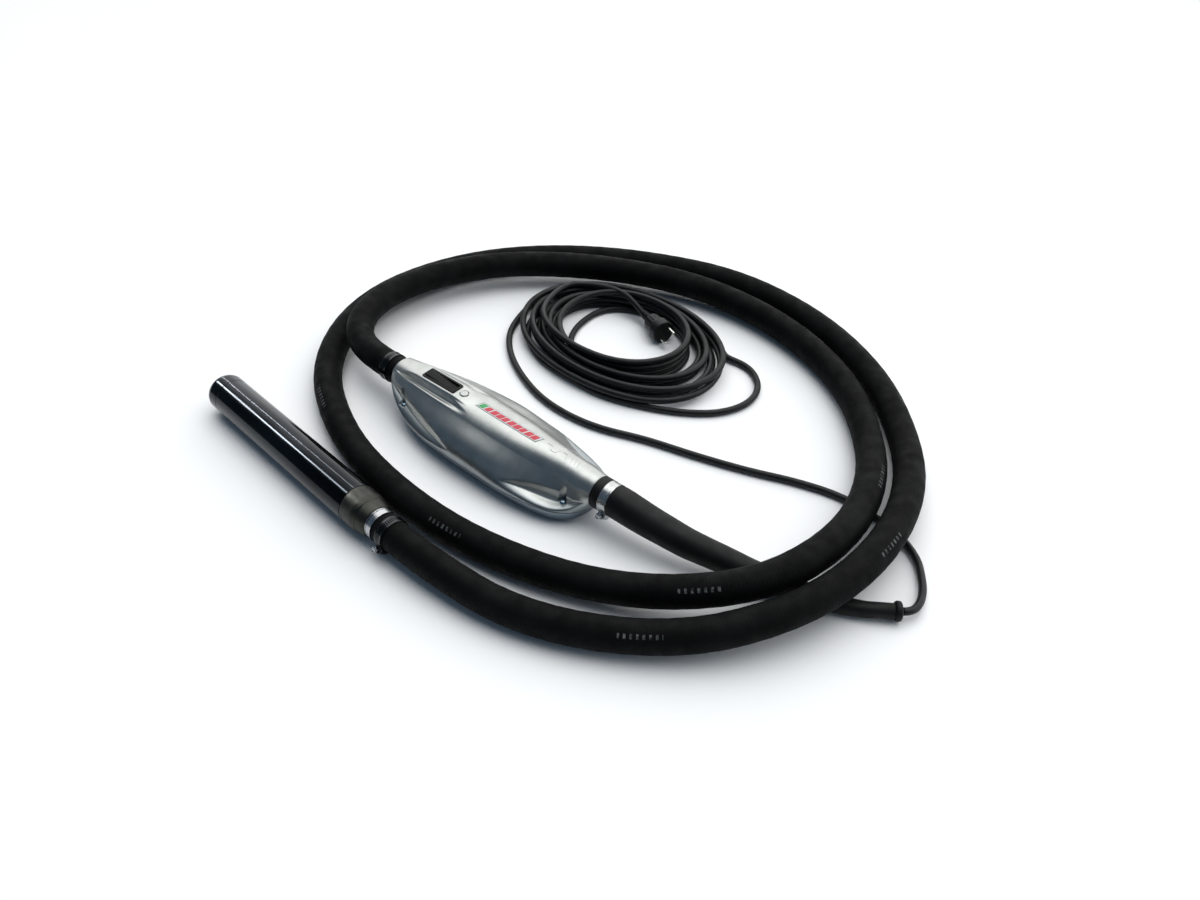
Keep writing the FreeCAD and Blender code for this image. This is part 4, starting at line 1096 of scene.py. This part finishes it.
def add_switch():
    rim = prism(
        "switch_frame", centred_box(SWITCH_X, SWITCH_LENGTH / 2 - 0.1, SWITCH_WIDTH / 2 - 0.1, 2.0),
        70.0, 77.6, "black_plastic", bevel=0.5)
    opening = prism("opening", centred_box(SWITCH_X, 27.2, 7.1, 1.0), 60, 90, "black_plastic")
    carve(rim, [opening])
    smooth_by_angle(rim)
    piece(rim, "black_plastic", "switch_bezel")
    rings = []
    for x in np.concatenate([[-25.6, -25.3], np.linspace(-24.9, 24.9, 41), [25.3, 25.6]]):
        top = 2.05 + 0.38 * (abs(x) / 26) ** 1.5
        pull = max(0.0, abs(x) - 24.7) * 0.7
        low, high, side = -2.0 + pull, top - pull, 6.4 - pull
        ridge = 0.05 if 12 < abs(x) < 22 and int(abs(x) / 1.25) % 2 else 0.0
        section = [
            (-side, low), (-side, high - 0.9), (-side + 0.3, high - 0.3), (-side + 0.9, high),
            (-side * 0.55, high), (-side * 0.5, high + ridge)]
        section += [(-y, z) for y, z in section[::-1]]
        rings.append([(x, y, z) for y, z in section])
    place = at(SWITCH_X, 0, 74.5) @ spin(5, "Y")
    key = ringed("rocker_key", np.array(rings), "black_plastic", place)
    smooth_by_angle(key, 40)
    piece(key, "black_plastic", "switch_rocker", body="rocker")
    boss_place = at(BOSS_X, 0, 0) @ spin(-90, "Y")
    boss = lathe(
        "blanking_button", [(70, 0), (70, 5.4), (76.2, 5.4), (76.7, 4.9), (76.7, 0)],
        "cast_aluminium", boss_place, 0.3, 64)
    piece(boss, "cast_aluminium", "blanking_plug")


def slanted_plate(name, edges, lift, thickness, finish, columns, rows):
    """A thin plate on the top of the body, with the edges x0, x1, y0 and y1 and slanted ends."""
    x0, x1, y0, y1, slant = edges
    work = bmesh.new()
    grid = []
    for column in range(columns + 1):
        line = []
        for row in range(rows + 1):
            across = row / rows
            x = x0 + (x1 - x0) * (column / columns) + slant * (across - 0.5)
            y = y0 + (y1 - y0) * across
            line.append(work.verts.new((x * MM, y * MM, (top_height(x, y) + lift) * MM)))
        grid.append(line)
    for column in range(columns):
        for row in range(rows):
            work.faces.new((
                grid[column][row], grid[column + 1][row], grid[column + 1][row + 1],
                grid[column][row + 1]))
    for face in work.faces:
        face.smooth = True
    mesh = built(name, work)
    item = add_object(name, mesh, finish)
    apply_modifier(item, "SOLIDIFY", thickness=thickness * MM, offset=1.0)
    smooth_by_angle(item, 30)
    return item


def add_label():
    """Plain slanted bars in place of the maker's sign."""
    plates = [
        ("label_border", (-15, 90, -5.9, 5.9, 5.0), 0.03, 0.18, "label_rim", 60, 8),
        ("label_field", (-14.0, 89.0, -5.2, 5.2, 5.0), 0.21, 0.12, "label", 60, 8),
        ("label_start", (-12.5, -4.5, -4.3, 4.3, 3.8), 0.33, 0.10, "label_green", 6, 4)]
    for index in range(9):
        start = -2.5 + index * 10.0
        edges = (start, start + (8.8 if index % 3 else 7.8), -4.2, 4.2, 3.8)
        plates.append(("label_bar%d" % index, edges, 0.33, 0.10, "label_red", 6, 4))
    plates = [slanted_plate(*plate) for plate in plates]
    piece(merged("label_plate", plates), "label", "trim_plate")


def add_surface_marks():
    """Raised plain lines on the rear of the cover."""
    marks = []
    lines = [
        [(101, 3.5), (109, 3.5), (112, -4)], [(112, -4), (119, -4), (122, 3.5)],
        [(127, 3.5), (133, 3.5), (136, -4)], [(142, 4), (145, -4.5)], [(147.5, 4), (150.5, -4.5)],
        [(153, 4), (156, -4.5)]]
    for index, line in enumerate(lines):
        path = spaced(np.array([(x, y, 0.0) for x, y in line]), 1.2)
        path[:, 2] = [top_height(x, y) + 0.02 for x, y, _ in path]
        mesh = grid_mesh("mark%d" % index, tube_rings(path, np.full(len(path), 0.34), 8))
        marks.append(add_object("mark%d" % index, mesh, "cast_aluminium"))
    piece(merged("cover_marks", marks), "cast_aluminium")


def add_screws():
    heads = []
    for index, (x, y, seat) in enumerate(SCREWS):
        place = at(x, y, seat) @ spin(-90, "Y")
        head = lathe(
            "shell_screw%d" % index,
            [
                (-16, 0), (-16, 2.3), (0.05, 2.3), (0.05, 4.15), (0.9, 4.15), (2.6, 3.2),
                (3.4, 1.6), (3.5, 0)],
            "blue_zinc", place, 0.5, 48)
        for turn in (0.4 + index, 0.4 + index + math.pi / 2):
            spot = at(x, y, 0) @ Matrix.Rotation(turn, 4, "Z")
            cross = prism("cross", sharp_box(2.1, 0.5), seat + 1.4, seat + 8, "blue_zinc", spot)
            carve(head, [cross])
        smooth_by_angle(head, 40)
        heads.append(head)
    piece(merged("cover_screws", heads), "turned_steel", "shell_screws")


# Plug

PLUG_HEADING, PLUG_ROLL = -20.9, 50.0
PIN_SPACING = 19.0
PIN = [(56, 0), (56, 2.0), (62, 2.0), (62, 2.4), (79.2, 2.4), (80.4, 1.7), (81.0, 0.8), (81.0, 0)]


def plug_place():
    """The plug starts where the cable's tail ends."""
    return at(*TAIL_ROUTE[-1]) @ spin(PLUG_HEADING, "Z") @ spin(PLUG_ROLL, "X")


def add_plug():
    place = plug_place()
    relief = [(0, 4.9), (0, 5.8)]
    for index in range(5):
        start = 1.0 + index * 4.2
        size = 6.0 + index * 0.42
        relief += [
            (start, size), (start + 2.6, size + 0.15), (start + 2.9, size - 0.9),
            (start + 3.9, size - 0.9)]
    relief += [
        (22.2, 8.2), (25.0, 12.6), (27.5, 13.4), (42.0, 14.3), (44.5, 15.0), (46.5, 17.4),
        (48.0, 18.1), (60.6, 18.1), (61.9, 17.2), (61.9, 15.9), (50.2, 15.85), (50.2, 0)]
    outline = rounded_profile(relief, 0.9, 3)
    sides = 120
    angle = circle(sides)
    rows = []
    for x, radius in outline:
        grip = ease((x - 27) / 3) * ease((43 - x) / 3)
        ridges = 0.55 * grip * np.cos(angle * 18)
        notch = (
            1.6 * ease((x - 47) / 2) * (radius > 16.5) * np.clip(np.cos(angle * 2) * 6 - 5, 0, 1))
        size = np.maximum(radius + ridges - notch, 0)
        rows.append(np.stack([np.full(sides, x), size * np.cos(angle), size * np.sin(angle)], -1))
    body = ringed("plug_housing", np.array(rows), "plug_rubber", place)
    smooth_by_angle(body, 50)
    piece(body, "plug_rubber", "plug_body")
    pins = []
    for side in (-PIN_SPACING / 2, PIN_SPACING / 2):
        pins.append(lathe("pin%d" % side, PIN, "pin_brass", place @ at(0, side, 0), 0.5, 32))
    pins = piece(merged("plug_pin_pair", pins), "pin_brass", "plug_pins")
    return [body, pins, NODES["plug_insert"], NODES["earth_clips"]]


# Surroundings


def add_floor():
    work = bmesh.new()
    bmesh.ops.create_grid(work, x_segments=1, y_segments=1, size=30.0)
    item = add_object("floor", built("floor", work), "floor")
    item.location.z = -0.0003


def area_light(name, place, target, size, power, along=(1, 0, 0)):
    """A rectangle of light whose long side lies along the given direction."""
    data = bpy.data.lights.new(name, "AREA")
    data.shape = "RECTANGLE"
    data.size, data.size_y = size
    data.energy = power
    item = linked(name, data)
    back = (Vector(place) - Vector(target)).normalized()
    side = (Vector(along) - Vector(along).dot(back) * back).normalized()
    turn = Matrix((side, back.cross(side), back)).transposed()
    item.matrix_world = Matrix.Translation(place) @ turn.to_4x4()
    return item


def shine_on(light, names):
    """Keeps a light to the named objects."""
    group = bpy.data.collections.new(light.name + "_targets")
    for name in names:
        group.objects.link(bpy.data.objects[name])
    light.light_linking.receiver_collection = group


def add_world():
    """Light from all round, darker on one side. The camera itself sees a plain pale backdrop."""
    world = bpy.data.worlds.new("studio")
    bpy.context.scene.world = world
    nodes = Nodes(world)
    lean = nodes.node(
        "VectorMath", {0: nodes.node("TexCoord").outputs["Generated"], 1: (0, 1.2, 0.5)},
        operation="DOT_PRODUCT")
    ramp = nodes.node("ValToRGB", {"Fac": lean.outputs["Value"]})
    for stop, position, colour in zip(
            ramp.color_ramp.elements, (0.20, 0.60), ((0.045, 0.065, 0.09, 1), (1.0, 1.0, 1.0, 1))):
        stop.position, stop.color = position, colour
    light = nodes.node("Background", {"Color": ramp.outputs["Color"], "Strength": 1.75})
    backdrop = nodes.node("Background", {"Color": (0.9, 0.91, 0.92, 1)})
    seen = nodes.node("LightPath").outputs["Is Camera Ray"]
    blend = nodes.node("MixShader", {0: seen, 1: light.outputs[0], 2: backdrop.outputs[0]})
    nodes.feed(nodes.tree.nodes["World Output"].inputs["Surface"], blend.outputs[0])


def add_lights():
    """A wide overhead light, and two strips for the long highlights on the head alone."""
    area_light("overhead", (0.1, 0.5, 2.6), (0.05, 0.15, 0), (3.4, 2.4), 26)
    middle, way = (-0.19, -0.18, 0.03), (0.997, -0.078, 0)
    for name, place, width, power in (
            ("strip", (-1.5, -0.45, 1.40), 0.16, 22),
            ("thin_strip", (-1.5, 0.54, 1.23), 0.035, 5.5)):
        light = area_light(name, place, middle, (1.3, width), power, way)
        shine_on(light, ("head_nose", "head_barrel", "head_adaptor_cone"))
    bpy.context.scene.view_settings.view_transform = "Standard"


def paint_nodes():
    for row in frame["record"]["subparts"]:
        finish = FINISHES[row["material_slot"]].material
        for spot in NODES[row["node"]].material_slots:
            spot.material = finish


add_camera()
FINISHES = make_finishes()
hose_item, hose_path, hose_length = add_hose()
cable_item, cable_path, cable_length = add_cable()
add_converter()
add_head()
add_clamps()
add_sleeve()
add_switch()
add_label()
add_surface_marks()
add_screws()
plug_pieces = add_plug()
paint_nodes()
add_floor()
add_world()
add_lights()
